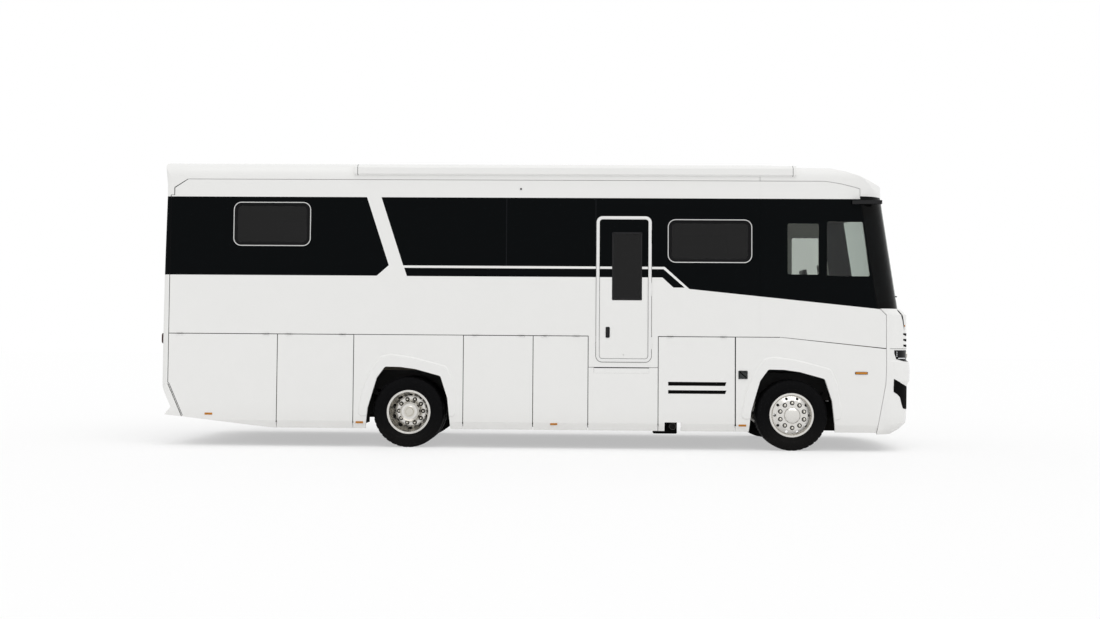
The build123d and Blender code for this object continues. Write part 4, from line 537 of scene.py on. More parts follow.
# ---------------------------------------------------------------- entry door trim
# A broad white frame bonded round the edge of the leaf with a rubber seal inside it, a
# black bezel round the tall window, a flush pull handle and its lock.
LEAF = (-2.2775, 2.174, 0.749, 1.982)
LEAF_CORNER = 0.084
HANDLE = -2.4935
leaf_white = road_finish(
    "leaf_white", (0.78, 0.78, 0.77), 0.25, bump=0.02, Dust=0.1, Specular_IOR_Level=0.3,
)
gloss_plastic = road_finish(
    "gloss_plastic", (0.006, 0.006, 0.007), 0.15, bump=0.02, Dust=0.05, Specular_IOR_Level=0.25,
)
leaf_spot = (AXLE + LEAF[0], LEAF[1])
moulding(
    "door_frame", leaf_spot, LEAF[2:], LEAF_CORNER,
    ((0.0, 0.0004), (-0.001, 0.006), (-0.006, 0.009), (-0.034, 0.009), (-0.041, 0.006), (-0.043, 0.0004)),
    -1, leaf_white, "door",
)
moulding(
    "door_seal", leaf_spot, LEAF[2:], LEAF_CORNER,
    ((-0.0435, 0.0004), (-0.0435, 0.003), (-0.047, 0.003), (-0.047, 0.0004)), -1, rubber, "door",
)
moulding(
    "door_window_bezel", (AXLE - 2.235, 2.4845), (0.408, 0.927), 0.014,
    ((0.0, 0.0004), (-0.001, 0.003), (-0.022, 0.003), (-0.024, 0.0004)), -1, gloss_plastic, "door",
)


def raised_plate(name, centre, size, radius, levels, side, material, body, steps=6):
    """A closed plate on a side: levels are (drawn in by, proud of the side) from its foot."""
    path = rounded_path(*size, radius, steps)
    verts, count = [], len(path)
    for inset, proud in levels:
        for x, z, nx, nz in path:
            verts.append((centre[0] + x - nx * inset, side * (SIDE + proud), centre[1] + z - nz * inset))
    faces = bands(len(levels), count)
    faces.append(tuple(range(count)))
    faces.append(tuple(range((len(levels) - 1) * count, len(levels) * count)))
    return make_piece(name, verts, faces, material, body)


raised_plate(
    "door_handle_rim", (AXLE + HANDLE, 1.584), (0.057, 0.148), 0.016,
    ((0, 0.0004), (0, 0.004), (0.003, 0.007), (0.007, 0.007), (0.009, 0.003)), -1, gloss_plastic, "door",
)
raised_plate(
    "door_handle_paddle", (AXLE + HANDLE, 1.590), (0.030, 0.104), 0.012,
    ((0, 0.003), (0, 0.011), (0.003, 0.016), (0.008, 0.018)), -1, gloss_plastic, "door",
)
raised_plate(
    "door_lock", (AXLE - 2.279, 1.283), (0.022, 0.022), 0.0109,
    ((0, 0.0004), (0, 0.003), (0.002, 0.005), (0.008, 0.005)), -1, pale_frame, "door",
)

# ---------------------------------------------------------------- side markers and skirt fittings
# Clipped-in amber reflectors along the sills, a side repeater ahead of the front wheel, a
# flush black filler cover, and a small lamp high over the door.
amber = road_finish(
    "amber_lens", (0.52, 0.20, 0.022), 0.25, bump=0.3, Dust=0.05, Grain_Scale=220,
    Specular_IOR_Level=0.2,
)
LENS_LEVELS = ((0, 0.0004), (0, 0.005), (0.003, 0.008), (0.008, 0.009))
MARKERS = (
    # station of the middle, height of the middle, width, height, body on the right, on the left
    ("tail", -7.934, 0.437, 0.107, 0.030, "flap_right_1", "flap_left_1"),
    ("rear_wheel", -5.863, 0.338, 0.102, 0.028, "body", "body"),
    ("middle", -3.218, 0.336, 0.098, 0.027, "flap_right_4", "flap_left_2"),
    ("front_wheel", -0.671, 0.340, 0.102, 0.027, "body", "body"),
)
SILL, SILL_LEAN = 0.355, 0.24
for label, x, z, width, depth, *bodies in MARKERS:
    tuck = max(0.0, (SILL - z) * SILL_LEAN) if label != "tail" else 0.004
    for (side, hand), body in zip(SIDES, bodies):
        levels = tuple((inset, proud - tuck) for inset, proud in LENS_LEVELS)
        name = f"marker_{label}_{hand}"
        raised_plate(name, (AXLE + x, z), (width, depth), 0.006, levels, side, amber, body)
REPEATER = (AXLE + 0.926, 1.0575)
FITTINGS = (
    # name, middle, size, corner, levels, material
    (
        "repeater_foot", REPEATER, (0.172, 0.036), 0.010,
        ((0, 0.0004), (0, 0.003), (0.003, 0.005), (0.01, 0.005)), gloss_plastic,
    ),
    (
        "repeater_lens", REPEATER, (0.158, 0.026), 0.008,
        ((0, 0.004), (0, 0.009), (0.003, 0.012), (0.008, 0.013)), amber,
    ),
    (
        "high_lamp", (AXLE - 3.686, 3.533), (0.026, 0.026), 0.0129,
        ((0, 0.0004), (0, 0.006), (0.003, 0.009), (0.009, 0.009)), gloss_plastic,
    ),
)
for side, hand in SIDES:
    for name, middle, size, corner, levels, finish in FITTINGS:
        raised_plate(f"{name}_{hand}", middle, size, corner, levels, side, finish, "body")
filler_plastic = road_finish(
    "filler_plastic", (0.022, 0.026, 0.026), 0.5, bump=0.25, Dust=0.1, Grain_Scale=350,
    Specular_IOR_Level=0.3,
)
raised_plate(
    "filler_cover", (AXLE - 0.664, 1.0225), (0.124, 0.111), 0.010,
    ((0, 0.0004), (0, 0.009), (0.002, 0.011), (0.012, 0.011), (0.014, 0.009), (0.02, 0.009)),
    -1, filler_plastic, "body",
)

# ---------------------------------------------------------------- joints of the side
# White filler in the joint behind the cab, black seals in the gaps between the flaps,
# near-black sheets as painted shade behind the louvre slots, the step's slot and the
# exhaust cut-out, and the white edge cover of the sliding step.
CAB_JOINT = -0.436
JOINT_LEVELS = ((0, -0.012), (0, -0.0012), (0.0006, -0.0006))
for side, hand in SIDES:
    raised_plate(
        f"cab_joint_{hand}", (AXLE + CAB_JOINT, 2.595), (0.0058, 2.110), 0.0028, JOINT_LEVELS,
        side, coach_paint, "body", 3,
    )
seal_black = road_finish("seal_black", (0.0040, 0.0040, 0.0044), 0.7, Dust=0.02, Specular_IOR_Level=0.05)
BOTH, RIGHT = (-1, 1), (-1,)
UPRIGHTS = (
    # on which sides, station, breadth
    (BOTH, -7.001, 0.0125), (RIGHT, -5.953, 0.0125), (BOTH, -4.454, 0.0125), (RIGHT, -3.505, 0.0125),
    (BOTH, -2.757, 0.0125), (BOTH, -1.808, 0.0125), (BOTH, -0.767, 0.0200),
)
SEALS = [(sides, (x, 0.330), (x, 1.530), breadth) for sides, x, breadth in UPRIGHTS]
SEALS += [
    # on which sides, start and end of the seal in the flat of the side, its breadth
    (BOTH, (-8.496, 1.5322), (-2.752, 1.5322), 0.0105),
    (BOTH, (-1.812, 1.5322), (-0.170, 1.5322), 0.0105),
    (BOTH, (-8.501, 0.860), (-8.501, 3.434), 0.0105),
    (BOTH, (-8.455, 3.438), (-8.456, 3.536), 0.0090),
    (BOTH, (-8.455, 3.538), (-8.274, 3.653), 0.0100),
    (BOTH, (-8.2905, 0.410), (-8.4900, 0.860), 0.0100),
    (BOTH, (1.1435, 1.936), (0.9125, 3.446), 0.0070),
]
SEAL_FACES = [
    (0, 1, 2, 3), (0, 1, 5, 4), (2, 3, 7, 6), (1, 2, 6, 5), (3, 0, 4, 7), (5, 6, 9, 8), (7, 4, 8, 9),
    (4, 5, 8), (6, 7, 9),
]
for number, (sides, start, end, breadth) in enumerate(SEALS):
    start, end = Vector(start), Vector(end)
    along = (end - start).normalized()
    off = Vector((-along.y, along.x)) * breadth / 2
    corners = [start - off, start + off, end + off, end - off]
    for side in sides:
        verts = [(AXLE + c.x, side * (SIDE + proud), c.y) for proud in (-0.030, -0.0002) for c in corners]
        verts += [(AXLE + c.x, side * (SIDE + 0.0006), c.y) for c in (start, end)]
        name = f"seal_{number}_{'right' if side < 0 else 'left'}"
        make_piece(name, verts, SEAL_FACES, seal_black, "body", 60)
# Near black: for black trim and joints, and as painted shade behind slots and openings.
black_and_shade = road_finish("black_and_shade", (0.003, 0.003, 0.003), 0.8, Dust=0.0, Specular_IOR_Level=0.05)
# Near-black sheets behind the louvre slots: painted shade inside the slots.
STEP_MIDDLE = AXLE - 2.305
for low, high in ((0.8705, 0.9195), (0.7625, 0.8075)):
    raised_plate(
        f"louvre_shade_{round(1000 * low)}", (AXLE - 1.284, (low + high) / 2), (0.770, high - low), 0.006,
        ((0, -0.034), (0, -0.018), (0.002, -0.016)), -1, black_and_shade, "flap_right_5",
    )
raised_plate(
    "step_cover", (STEP_MIDDLE, 1.0660), (0.7475, 0.0665), 0.002,
    ((0, -0.030), (0, -0.0008), (0.0008, -0.0001)), -1, plain_paint, "step",
)
raised_plate(
    "step_slot_shade", (STEP_MIDDLE, 1.1060), (0.7490, 0.0120), 0.002,
    ((0, -0.040), (0, -0.006), (0.001, -0.005)), -1, black_and_shade, "step",
)
# A near-black sheet behind the exhaust cut-out: painted shade in the opening.
raised_plate(
    "exhaust_shade", (AXLE - 1.700, 0.330), (0.330, 0.250), 0.020,
    ((0, -0.240), (0, -0.200), (0.010, -0.190)), -1, black_and_shade, "body",
)

# ---------------------------------------------------------------- tyres
# Steel-belted truck tyres: bulged sidewalls with a rim guard and fine mould rings, and a
# ribbed tread whose shoulders are cut into blocks. They stand in for the plain solids.
HUB_Z = 0.480
REAR_AXLE = -5.200
TYRE_STEPS = 180
BLOCK_STEPS = 5
GROOVE, GROOVE_SIDE = 0.008, 0.002
tyre_rubber = road_finish(
    "tyre_rubber", (0.0032, 0.0032, 0.0036), 0.62, bump=0.35,
    Dust=0.012, Dust_Height=0.5, Grain_Scale=500, Unevenness=0.2, Specular_IOR_Level=0.05,
)
HALF_TYRE = (
    # distance from the tyre's middle, radius, is the row part of a shoulder block
    (0.0960, 0.2864, 0), (0.0975, 0.2990, 0), (0.1120, 0.3062, 0), (0.1180, 0.3120, 0),
    (0.1190, 0.3180, 0), (0.1255, 0.3260, 0), (0.1262, 0.3330, 0), (0.1240, 0.3350, 0),
    (0.1300, 0.3500, 0), (0.1355, 0.3740, 0), (0.1366, 0.3745, 0), (0.1366, 0.3775, 0),
    (0.1358, 0.3780, 0), (0.1366, 0.3950, 0), (0.1352, 0.4120, 0), (0.1360, 0.4124, 0),
    (0.1358, 0.4150, 0), (0.1348, 0.4154, 0), (0.1310, 0.4350, 1), (0.1290, 0.4480, 1),
    (0.1225, 0.4640, 1), (0.1130, 0.4755, 1), (0.1035, 0.4795, 1), (0.0760, 0.4798, 1),
    (0.0740, 0.4680, 0), (0.0680, 0.4680, 0), (0.0660, 0.4800, 0), (0.0340, 0.4800, 0),
    (0.0320, 0.4680, 0), (0.0260, 0.4680, 0), (0.0240, 0.4800, 0),
)
TYRE_PROFILE = [(-out, r, b) for out, r, b in HALF_TYRE] + [(out, r, b) for out, r, b in reversed(HALF_TYRE)]
WHEELS = (
    # name, station, side, middles of its tyres
    ("front_left", 0.0, 1, (1.087,)),
    ("front_right", 0.0, -1, (1.087,)),
    ("rear_left", REAR_AXLE, 1, (1.087, 0.777)),
    ("rear_right", REAR_AXLE, -1, (1.087, 0.777)),
)
for name, station, side, middles in WHEELS:
    verts, faces = [], []
    for middle in middles:
        first = len(verts)
        rows = len(TYRE_PROFILE)
        for s in range(TYRE_STEPS):
            angle = 2 * pi * s / TYRE_STEPS
            for out, radius, block in TYRE_PROFILE:
                if block and s % BLOCK_STEPS == 0:
                    radius -= GROOVE
                    out -= GROOVE_SIDE if out > 0 else -GROOVE_SIDE
                verts.append((
                    AXLE + station + radius * cos(angle),
                    side * (middle + out),
                    HUB_Z + radius * sin(angle),
                ))
        for s in range(TYRE_STEPS):
            t = (s + 1) % TYRE_STEPS
            for j in range(rows):
                k = (j + 1) % rows
                corners = ((s, j), (s, k), (t, k), (t, j))
                faces.append(tuple(first + a * rows + b for a, b in corners))
    tyre = make_piece(f"tread_{name}", verts, faces, tyre_rubber, f"wheel_{name}", crease=50)
    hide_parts(f"tyre_{name}")

# ---------------------------------------------------------------- wheels
# Forged aluminium discs, polished: ten capped nuts round a domed hub cover at the front,
# and a deep dish with oval hand holes round a chromed cap on the twin rear wheels.


def spun(profile, segments, hexed=()):
    """Points of a form turned about Y: rows are (radius, distance along the axis)."""
    for row, (radius, out) in enumerate(profile):
        for s in range(segments):
            angle = 2 * pi * s / segments
            r = radius * (cos(pi / 6) if row in hexed and s % 2 else 1)
            yield r * cos(angle), out, r * sin(angle)


def turned(name, station, profile, side, material, body, segments=96):
    """A form turned on a wheel's axis: rows are (radius, distance from the centre line)."""
    verts = [(AXLE + station + x, side * out, HUB_Z + z) for x, out, z in spun(profile, segments)]
    return make_piece(name, verts, bands(len(profile), segments), material, body)


polished = road_finish(
    "polished_alloy", (0.70, 0.685, 0.655), 0.24, metallic=1, bump=0.06,
    Dust=0.12, Dust_Height=0.6, Grain_Scale=180, Unevenness=0.18, Mottle=0.12,
)
# The chrome's colour is dimmed and warmed as a painted reflection of darker, tan surroundings than the white
# studio gives.
chrome_with_painted_reflection = road_finish(
    "chrome_with_painted_reflection", (0.60, 0.58, 0.53), 0.10, metallic=1, bump=0.02, Dust=0.05, Unevenness=0.08,
)
# Near black as painted shade: inside the pressed hand-hole pockets of the rear dishes and in the seats round
# the wheel nuts.
painted_shade_black = road_finish("painted_shade_black", (0.004, 0.004, 0.004), 0.8, Dust=0.05, Specular_IOR_Level=0.1)
dress(polished, "rim_front_left", "rim_front_right", "rim_rear_left", "rim_rear_right")

# Nuts are one capped nut set round a circle
nut_ring = bpy.data.node_groups.new("nut_ring", "GeometryNodeTree")
for label, kind in (
    ("Nut", "Geometry"), ("Count", "Int"), ("Radius", "Float"), ("Turn", "Vector"),
    ("Centre", "Vector"), ("Finish", "Material"),
):
    nut_ring.interface.new_socket(label, in_out="INPUT", socket_type="NodeSocket" + kind)
nut_ring.interface.new_socket("Nuts", in_out="OUTPUT", socket_type="NodeSocketGeometry")
given = nut_ring.nodes.new("NodeGroupInput")
result = nut_ring.nodes.new("NodeGroupOutput")
circle = nut_ring.nodes.new("GeometryNodeMeshCircle")
stand = nut_ring.nodes.new("GeometryNodeTransform")
copies = nut_ring.nodes.new("GeometryNodeInstanceOnPoints")
solid = nut_ring.nodes.new("GeometryNodeRealizeInstances")
coat = nut_ring.nodes.new("GeometryNodeSetMaterial")
for start, end in (
    (given.outputs["Count"], circle.inputs["Vertices"]),
    (given.outputs["Radius"], circle.inputs["Radius"]),
    (circle.outputs[0], stand.inputs["Geometry"]),
    (given.outputs["Turn"], stand.inputs["Rotation"]),
    (given.outputs["Centre"], stand.inputs["Translation"]),
    (stand.outputs[0], copies.inputs["Points"]),
    (given.outputs["Nut"], copies.inputs["Instance"]),
    (copies.outputs[0], solid.inputs[0]),
    (solid.outputs[0], coat.inputs["Geometry"]),
    (given.outputs["Finish"], coat.inputs["Material"]),
    (coat.outputs[0], result.inputs[0]),
):
    nut_ring.links.new(start, end)


def ring_of(name, profile, hexed, count, radius, centre, side, material, body, turn=0):
    """Turned pieces such as nuts set round a circle, made one plain mesh."""
    segments = 12
    verts = [(x, side * out, z) for x, out, z in spun(profile, segments, hexed)]
    mesh = clean_mesh(name + "_one", verts, bands(len(profile), segments))
    source = bpy.data.objects.new(name + "_one", mesh)
    bpy.context.scene.collection.objects.link(source)
    maker = source.modifiers.new("ring", "NODES")
    maker.node_group = nut_ring
    values = {"Count": count, "Radius": radius, "Centre": centre, "Finish": material}
    values["Turn"] = (pi / 2, turn, 0)
    for socket in nut_ring.interface.items_tree:
        if socket.item_type == "SOCKET" and socket.in_out == "INPUT" and socket.name in values:
            maker[socket.identifier] = values[socket.name]
    bpy.context.view_layer.update()
    made = bpy.data.meshes.new_from_object(source.evaluated_get(bpy.context.evaluated_depsgraph_get()))
    made.name = name
    source.modifiers.remove(maker)
    bpy.data.objects.remove(source)
    smoothed(made).set_sharp_from_angle(angle=radians(30))
    piece = set_down(name, made, body)


NUT = (
    (0, 0), (0.0175, 0), (0.0175, 0.008), (0.0160, 0.010), (0.0160, 0.024), (0.0140, 0.030),
    (0.0085, 0.034), (0, 0.035),
)
NUT_SEAT = ((0, 0), (0.0315, 0), (0.0315, 0.0030), (0.0290, 0.0045), (0, 0.0045))
STUD_CIRCLE = 0.1675
NUTS = 10
FRONT_FORMS = (
    ("hub_cover", (
        (0.1085, 1.2302), (0.1085, 1.2440), (0.1060, 1.2500), (0.1020, 1.2560), (0.0900, 1.2660),
        (0.0700, 1.2740), (0.0400, 1.2790), (0, 1.2800),
    )),
    ("rim_lip", (
        (0.2720, 1.1800), (0.2760, 1.1960), (0.2860, 1.1975), (0.2960, 1.1960), (0.2985, 1.1900),
        (0.2960, 1.1850),
    )),
    ("disc_bead", ((0.2080, 1.2245), (0.2070, 1.2290), (0.2040, 1.2310), (0.2000, 1.2305))),
)
WHEEL_FACE = (
    (0.1320, 0.9322), (0.1325, 0.9480), (0.1400, 0.9520), (0.1960, 0.9520), (0.2030, 0.9500),
    (0.2080, 0.9420), (0.2080, 0.9322),
)
REAR_FORMS = (
    ("hub_cap", chrome_with_painted_reflection, (
        (0.1315, 0.9520), (0.1318, 1.0600), (0.1290, 1.0820), (0.1180, 1.1040), (0.0950, 1.1220),
        (0.0640, 1.1330), (0.0580, 1.1310), (0.0550, 1.1385), (0.0480, 1.1400), (0.0460, 1.1350),
        (0.0200, 1.1372), (0, 1.1375),
    )),
    ("rim_lip", polished, (
        (0.2700, 1.1500), (0.2745, 1.1850), (0.2860, 1.1975), (0.2960, 1.1960), (0.2985, 1.1900),
        (0.2960, 1.1850),
    )),
)
AROUND, DEEP = 240, 16
# Ten hand holes: breadth along the dish's turn, middle and half height down the dish
HOLE_BREADTH, HOLE_MIDDLE, HOLE_HALF = 0.030, 0.62, 0.24


def hand_hole(angle, t, radius):
    """Whether a point of the dish lies in a hand hole."""
    nearest = (round(angle / (2 * pi) * 10 - 0.5) + 0.5) * 2 * pi / 10
    off = (angle - nearest + pi) % (2 * pi) - pi
    return (off * radius / HOLE_BREADTH) ** 2 + ((t - HOLE_MIDDLE) / HOLE_HALF) ** 2 < 1


def deep_dish(name, station, side, body):
    """The dish of a twin wheel, from its lip in to its nut face, with its hand holes pressed in as shallow
    pockets painted near black as shade.
    """
    dish, faces, holes = [], [], []
    for i in range(AROUND):
        angle = 2 * pi * i / AROUND
        for j in range(DEEP + 1):
            t = j / DEEP
            radius = 0.2690 - 0.0630 * t
            out = 1.150 - 0.195 * t ** 0.8
            inside = hand_hole(angle, t, radius)
            if inside:
                radius += 0.014
                out -= 0.006
            dish.append((AXLE + station + radius * cos(angle), side * out, HUB_Z + radius * sin(angle)))
            holes.append(inside)
    for i in range(AROUND):
        k = (i + 1) % AROUND
        for j in range(DEEP):
            corners = ((i, j), (i, j + 1), (k, j + 1), (k, j))
            faces.append(tuple(a * (DEEP + 1) + b for a, b in corners))
    mesh = bpy.data.meshes.new(name)
    mesh.from_pydata(dish, [], faces)
    mesh.materials.append(polished)
    mesh.materials.append(painted_shade_black)
    for face in smoothed(mesh).polygons:
        face.material_index = 1 if sum(holes[v] for v in face.vertices) >= 2 else 0
    form = bmesh.new()
    form.from_mesh(mesh)
    bmesh.ops.recalc_face_normals(form, faces=form.faces)
    if form.faces[0].normal.dot(Vector((0, side, 0))) < 0:
        bmesh.ops.reverse_faces(form, faces=form.faces)
    form.to_mesh(mesh)
    form.free()
    mesh.set_sharp_from_angle(angle=radians(40))
    set_down(name, mesh, body)


for name, station, side, middles in WHEELS:
    body = f"wheel_{name}"
    single = len(middles) == 1
    seat, seat_rise, turn = (1.2302, 0, pi / 10) if single else (0.952, 0.0001, 0)
    if not single:
        deep_dish(f"dish_{name}", station, side, body)
        turned(f"wheel_face_{name}", station, WHEEL_FACE, side, polished, body)
    for ring, rise, profile, hexed, finish in (
        ("nut_seats", seat_rise, NUT_SEAT, (), painted_shade_black),
        ("nuts", seat_rise + 0.001, NUT, (3, 4), chrome_with_painted_reflection),
    ):
        centre = (AXLE + station, side * (seat + rise), HUB_Z)
        ring_of(f"{ring}_{name}", profile, hexed, NUTS, STUD_CIRCLE, centre, side, finish, body, turn)
    for form, *finish, profile in FRONT_FORMS if single else REAR_FORMS:
        turned(f"{form}_{name}", station, profile, side, finish[0] if finish else polished, body)

# ---------------------------------------------------------------- nose
# Moulded mask and bumper: slatted grille and lower intake in black, headlamps of two
# projectors and a light bar behind a dark cover, lamp, vent and intake skins that run
# round the nose's corners, shields behind the front wheels, and the wipers.


def surface_of(name):
    """A solid part's faces, ready to be met by lines."""
    mesh = nodes[name].data
    return BVHTree.FromPolygons([v.co for v in mesh.vertices], [p.vertices for p in mesh.polygons])


def met_from(start, name):
    """Where a line along the vehicle from a start meets a part, as a function of (y, z)."""
    surface = surface_of(name)

    def reach(y, z):
        hit = surface.ray_cast(Vector((start, y, z)), Vector((-1 if start > 0 else 1, 0, 0)))[0]
        return hit.x if hit else None

    return reach


AHEAD, BEHIND = 8, -8


def disc_ahead(name, x, y, z, profile, material):
    """A form turned about a line along the vehicle: rows are (radius, distance ahead)."""
    verts = [(x + out, y + across, z + up) for across, out, up in spun(profile, 48)]
    return make_piece(name, verts, bands(len(profile), 48), material, "body")


def strip(name, points, depth, material):
    """A round bar through its points, made a plain mesh."""
    line = bpy.data.curves.new(name, "CURVE")
    line.dimensions = "3D"
    line.bevel_depth = depth
    line.bevel_resolution = 3
    line.use_fill_caps = True
    run = line.splines.new("POLY")
    run.points.add(len(points) - 1)
    for point, spot in zip(run.points, points):
        point.co = (*spot, 1)
    source = bpy.data.objects.new(name + "_line", line)
    bpy.context.scene.collection.objects.link(source)
    bpy.context.view_layer.update()
    made = bpy.data.meshes.new_from_object(source.evaluated_get(bpy.context.evaluated_depsgraph_get()))
    made.name = name
    bpy.data.objects.remove(source)
    made.materials.clear()
    made.materials.append(material)
    set_down(name, smoothed(made), "body")


def slab(name, low, high, edge, material):
    """A small block with rounded edges."""
    mesh = bpy.data.meshes.new(name)
    form = bmesh.new()
    bmesh.ops.create_cube(form, size=1)
    for vert in form.verts:
        vert.co = Vector([(a + b) / 2 + (b - a) * c for a, b, c in zip(low, high, vert.co)])
    bmesh.ops.bevel(form, geom=form.edges[:], offset=edge, segments=3, affect="EDGES", profile=0.6)
    form.to_mesh(mesh)
    form.free()
    smoothed(mesh).set_sharp_from_angle(angle=radians(35))
    mesh.materials.append(material)
    return set_down(name, mesh, "body")


grained_black = road_finish(
    "grained_black", (0.012, 0.012, 0.013), 0.5, bump=0.3, Dust=0.15, Grain_Scale=260,
    Specular_IOR_Level=0.3,
)
lamp_cover = road_finish(
    "lamp_cover", (0.004, 0.004, 0.005), 0.12, bump=0.02, Dust=0.02, Specular_IOR_Level=0.12,
)
lamp_glass = road_finish(
    "lamp_glass", (0.80, 0.82, 0.84), 0.08, bump=0.3, Dust=0.05, Grain_Scale=90, Coat_Weight=1.0,
)
red_lens = road_finish(
    "red_lens", (0.30, 0.010, 0.008), 0.15, bump=0.3, Dust=0.1, Grain_Scale=120, Coat_Weight=0.6,
)
smoked_lens = road_finish(
    "smoked_lens", (0.030, 0.004, 0.004), 0.12, Dust=0.08, Specular_IOR_Level=0.3,
)
well_black = road_finish(
    "well_black", (0.0035, 0.0035, 0.0035), 0.8, bump=0.3, Dust=0.03, Specular_IOR_Level=0.05,
)
dress(grained_black, "grille", "entry_step")
dress(well_black, "lockers_left", "lockers_right", "wheel_housings", "front_carrier")
dress(lamp_cover, "headlamps")
dress(smoked_lens, "tail_lamps")
dress(gloss_plastic, "mirror_arms")

LAMP_Z, BAR_Z = 1.306, 1.352
lamp_reach = met_from(AHEAD, "headlamps")
for side, hand in SIDES:
    for number, y in enumerate((0.78, 0.92)):
        spot = (lamp_reach(side * y, LAMP_Z) - 0.008, side * y, LAMP_Z)
        disc_ahead(
            f"projector_{number}_{hand}", *spot,
            ((0.052, 0), (0.052, 0.009), (0.048, 0.013), (0.044, 0.009)), chrome_with_painted_reflection,
        )
        disc_ahead(
            f"projector_glass_{number}_{hand}", *spot,
            ((0.044, 0), (0.044, 0.009), (0.036, 0.015), (0.020, 0.019), (0, 0.020)), lamp_glass,
        )
    bar = [(lamp_reach(side * y, BAR_Z), side * y, BAR_Z) for y in (0.71, 0.78, 0.85, 0.92, 0.99, 1.05)]
    strip(f"light_bar_{hand}", [(x + 0.001, y, z) for x, y, z in bar if x], 0.006, lamp_glass)

WRAP_CENTRE = (AXLE + 1.300, 0.900)
WRAP_START, WRAP_REACH, WRAP_NEAR = 3, 2.72, 2.65
WRAP_SPLIT, WRAP_TALL = 4, 7


def nose_wrap(name, node, rows, proud, material):
    """A skin over the right and left nose corners: rows are (angle from ahead, foot, top)."""
    surface = surface_of(node)
    columns = []
    for row, after in zip(rows, rows[1:]):
        for step in range(WRAP_SPLIT):
            columns.append([a + (b - a) * (step / WRAP_SPLIT) for a, b in zip(row, after)])
    columns.append(rows[-1])
    for side, hand in SIDES:
        centre = Vector((WRAP_CENTRE[0], side * WRAP_CENTRE[1], 0))
        grid = []
        for turn, foot, top in columns:
            outward = Vector((cos(radians(turn)), side * sin(radians(turn)), 0))
            for step in range(WRAP_TALL):
                start = centre + outward * WRAP_START
                start.z = foot + (top - foot) * step / (WRAP_TALL - 1)
                hit = surface.ray_cast(start, -outward, WRAP_REACH)[0]
                grid.append((hit or surface.find_nearest(start - outward * WRAP_NEAR)[0], outward))
        verts = [hit + outward * lift for lift in (proud, -0.002) for hit, outward in grid]
        wide, tall, back = len(columns), WRAP_TALL, len(grid)
        faces = []
        for i in range(wide - 1):
            for j in range(tall - 1):
                a, b, c, d = i * tall + j, i * tall + j + 1, (i + 1) * tall + j + 1, (i + 1) * tall + j
                faces += [(a, b, c, d), (back + a, back + d, back + c, back + b)]
        rim = [i * tall for i in range(wide)] + [(wide - 1) * tall + j for j in range(1, tall)]
        rim += [i * tall + tall - 1 for i in range(wide - 2, -1, -1)] + list(range(tall - 2, 0, -1))
        for a, b in zip(rim, rim[1:] + rim[:1]):
            faces.append((a, b, back + b, back + a))
        make_piece(f"{name}_{hand}", verts, faces, material, "body")


def level_rows(foot, top, *angles):
    """Wrap rows of one height at several angles."""
    return [(angle, foot, top) for angle in angles]


nose_wrap(
    "lamp_wrap", "front_bumper",
    ((34.2, 1.215, 1.369), (50, 1.220, 1.369), (73, 1.250, 1.369), (78, 1.330, 1.369)),
    0.003, lamp_cover,
)
nose_wrap("lamp_signature", "front_bumper", level_rows(1.256, 1.266, 40, 55, 68), 0.006, lamp_glass)
for level in (1.285, 1.312, 1.339):
    rows = level_rows(level, level + 0.011, 70.5, 72.5)
    nose_wrap(f"lamp_dot_{round(1000 * level)}", "front_bumper", rows, 0.006, lamp_glass)
nose_wrap(
    "intake_wrap", "front_bumper",
    (
        (19, 0.572, 0.870), (30, 0.571, 0.880), (40, 0.572, 0.890), (50, 0.585, 0.905),
        (56, 0.640, 0.915), (62, 0.735, 0.930), (70, 0.775, 0.955), (80, 0.808, 0.984),
    ),
    0.003, black_and_shade,
)
nose_wrap("cheek_joint", "front_mask", level_rows(1.3875, 1.3925, 8, 30, 60, 88), 0.001, black_and_shade)
for level in (1.413, 1.490, 1.567):
    rows = level_rows(level, level + 0.034, 22, 36) + [(48, level + 0.012, level + 0.034)]
    nose_wrap(f"mask_vent_{round(1000 * level)}", "front_mask", rows, 0.002, black_and_shade)
nose_wrap(
    "screen_trim", "front_mask",
    ((43, 1.640, 1.700), (47, 1.700, 1.790), (51, 1.775, 1.850), (57, 1.845, 1.905), (63, 1.900, 1.925)),
    0.002, gloss_plastic,
)
nose_wrap("nose_marker", "front_mask", level_rows(1.690, 1.712, 38, 43), 0.005, amber)

for side, hand in SIDES:
    near, far = sorted((side * 0.645, side * 0.655))
    low, high = (AXLE + 0.500, near, 0.235), (AXLE + 0.860, far, 0.640)
    slab(f"splash_shield_{hand}", low, high, 0.003, well_black)

BLADE_Z, BLADE_BOW, PIVOT_Z, BLADE_STEPS = 2.10, 0.02, 1.955, 12
screen_reach = met_from(AHEAD, "windscreen")
for label, start, end, pivot in (("right", -1.02, -0.10, -0.42), ("left", -0.02, 0.90, 0.50)):
    blade = []
    for step in range(BLADE_STEPS + 1):
        y = start + (end - start) * step / BLADE_STEPS
        z = BLADE_Z + BLADE_BOW * sin(pi * step / BLADE_STEPS)
        blade.append((screen_reach(y, z) + 0.014, y, z))
    strip(f"wiper_blade_{label}", blade, 0.008, rubber)
    foot = (screen_reach(pivot, PIVOT_Z) + 0.020, pivot, PIVOT_Z)
    tip = blade[BLADE_STEPS // 2]
    middle = [(a + b) / 2 for a, b in zip(foot, tip)]
    arm = [foot, (middle[0] + 0.016, *middle[1:]), (tip[0] + 0.010, *tip[1:])]
    strip(f"wiper_arm_{label}", arm, 0.009, grained_black)

# ---------------------------------------------------------------- plates and tail fittings
# Blank plates on their holders, a brake light along the top of the tail, and red
# reflectors low on the rear bumper.


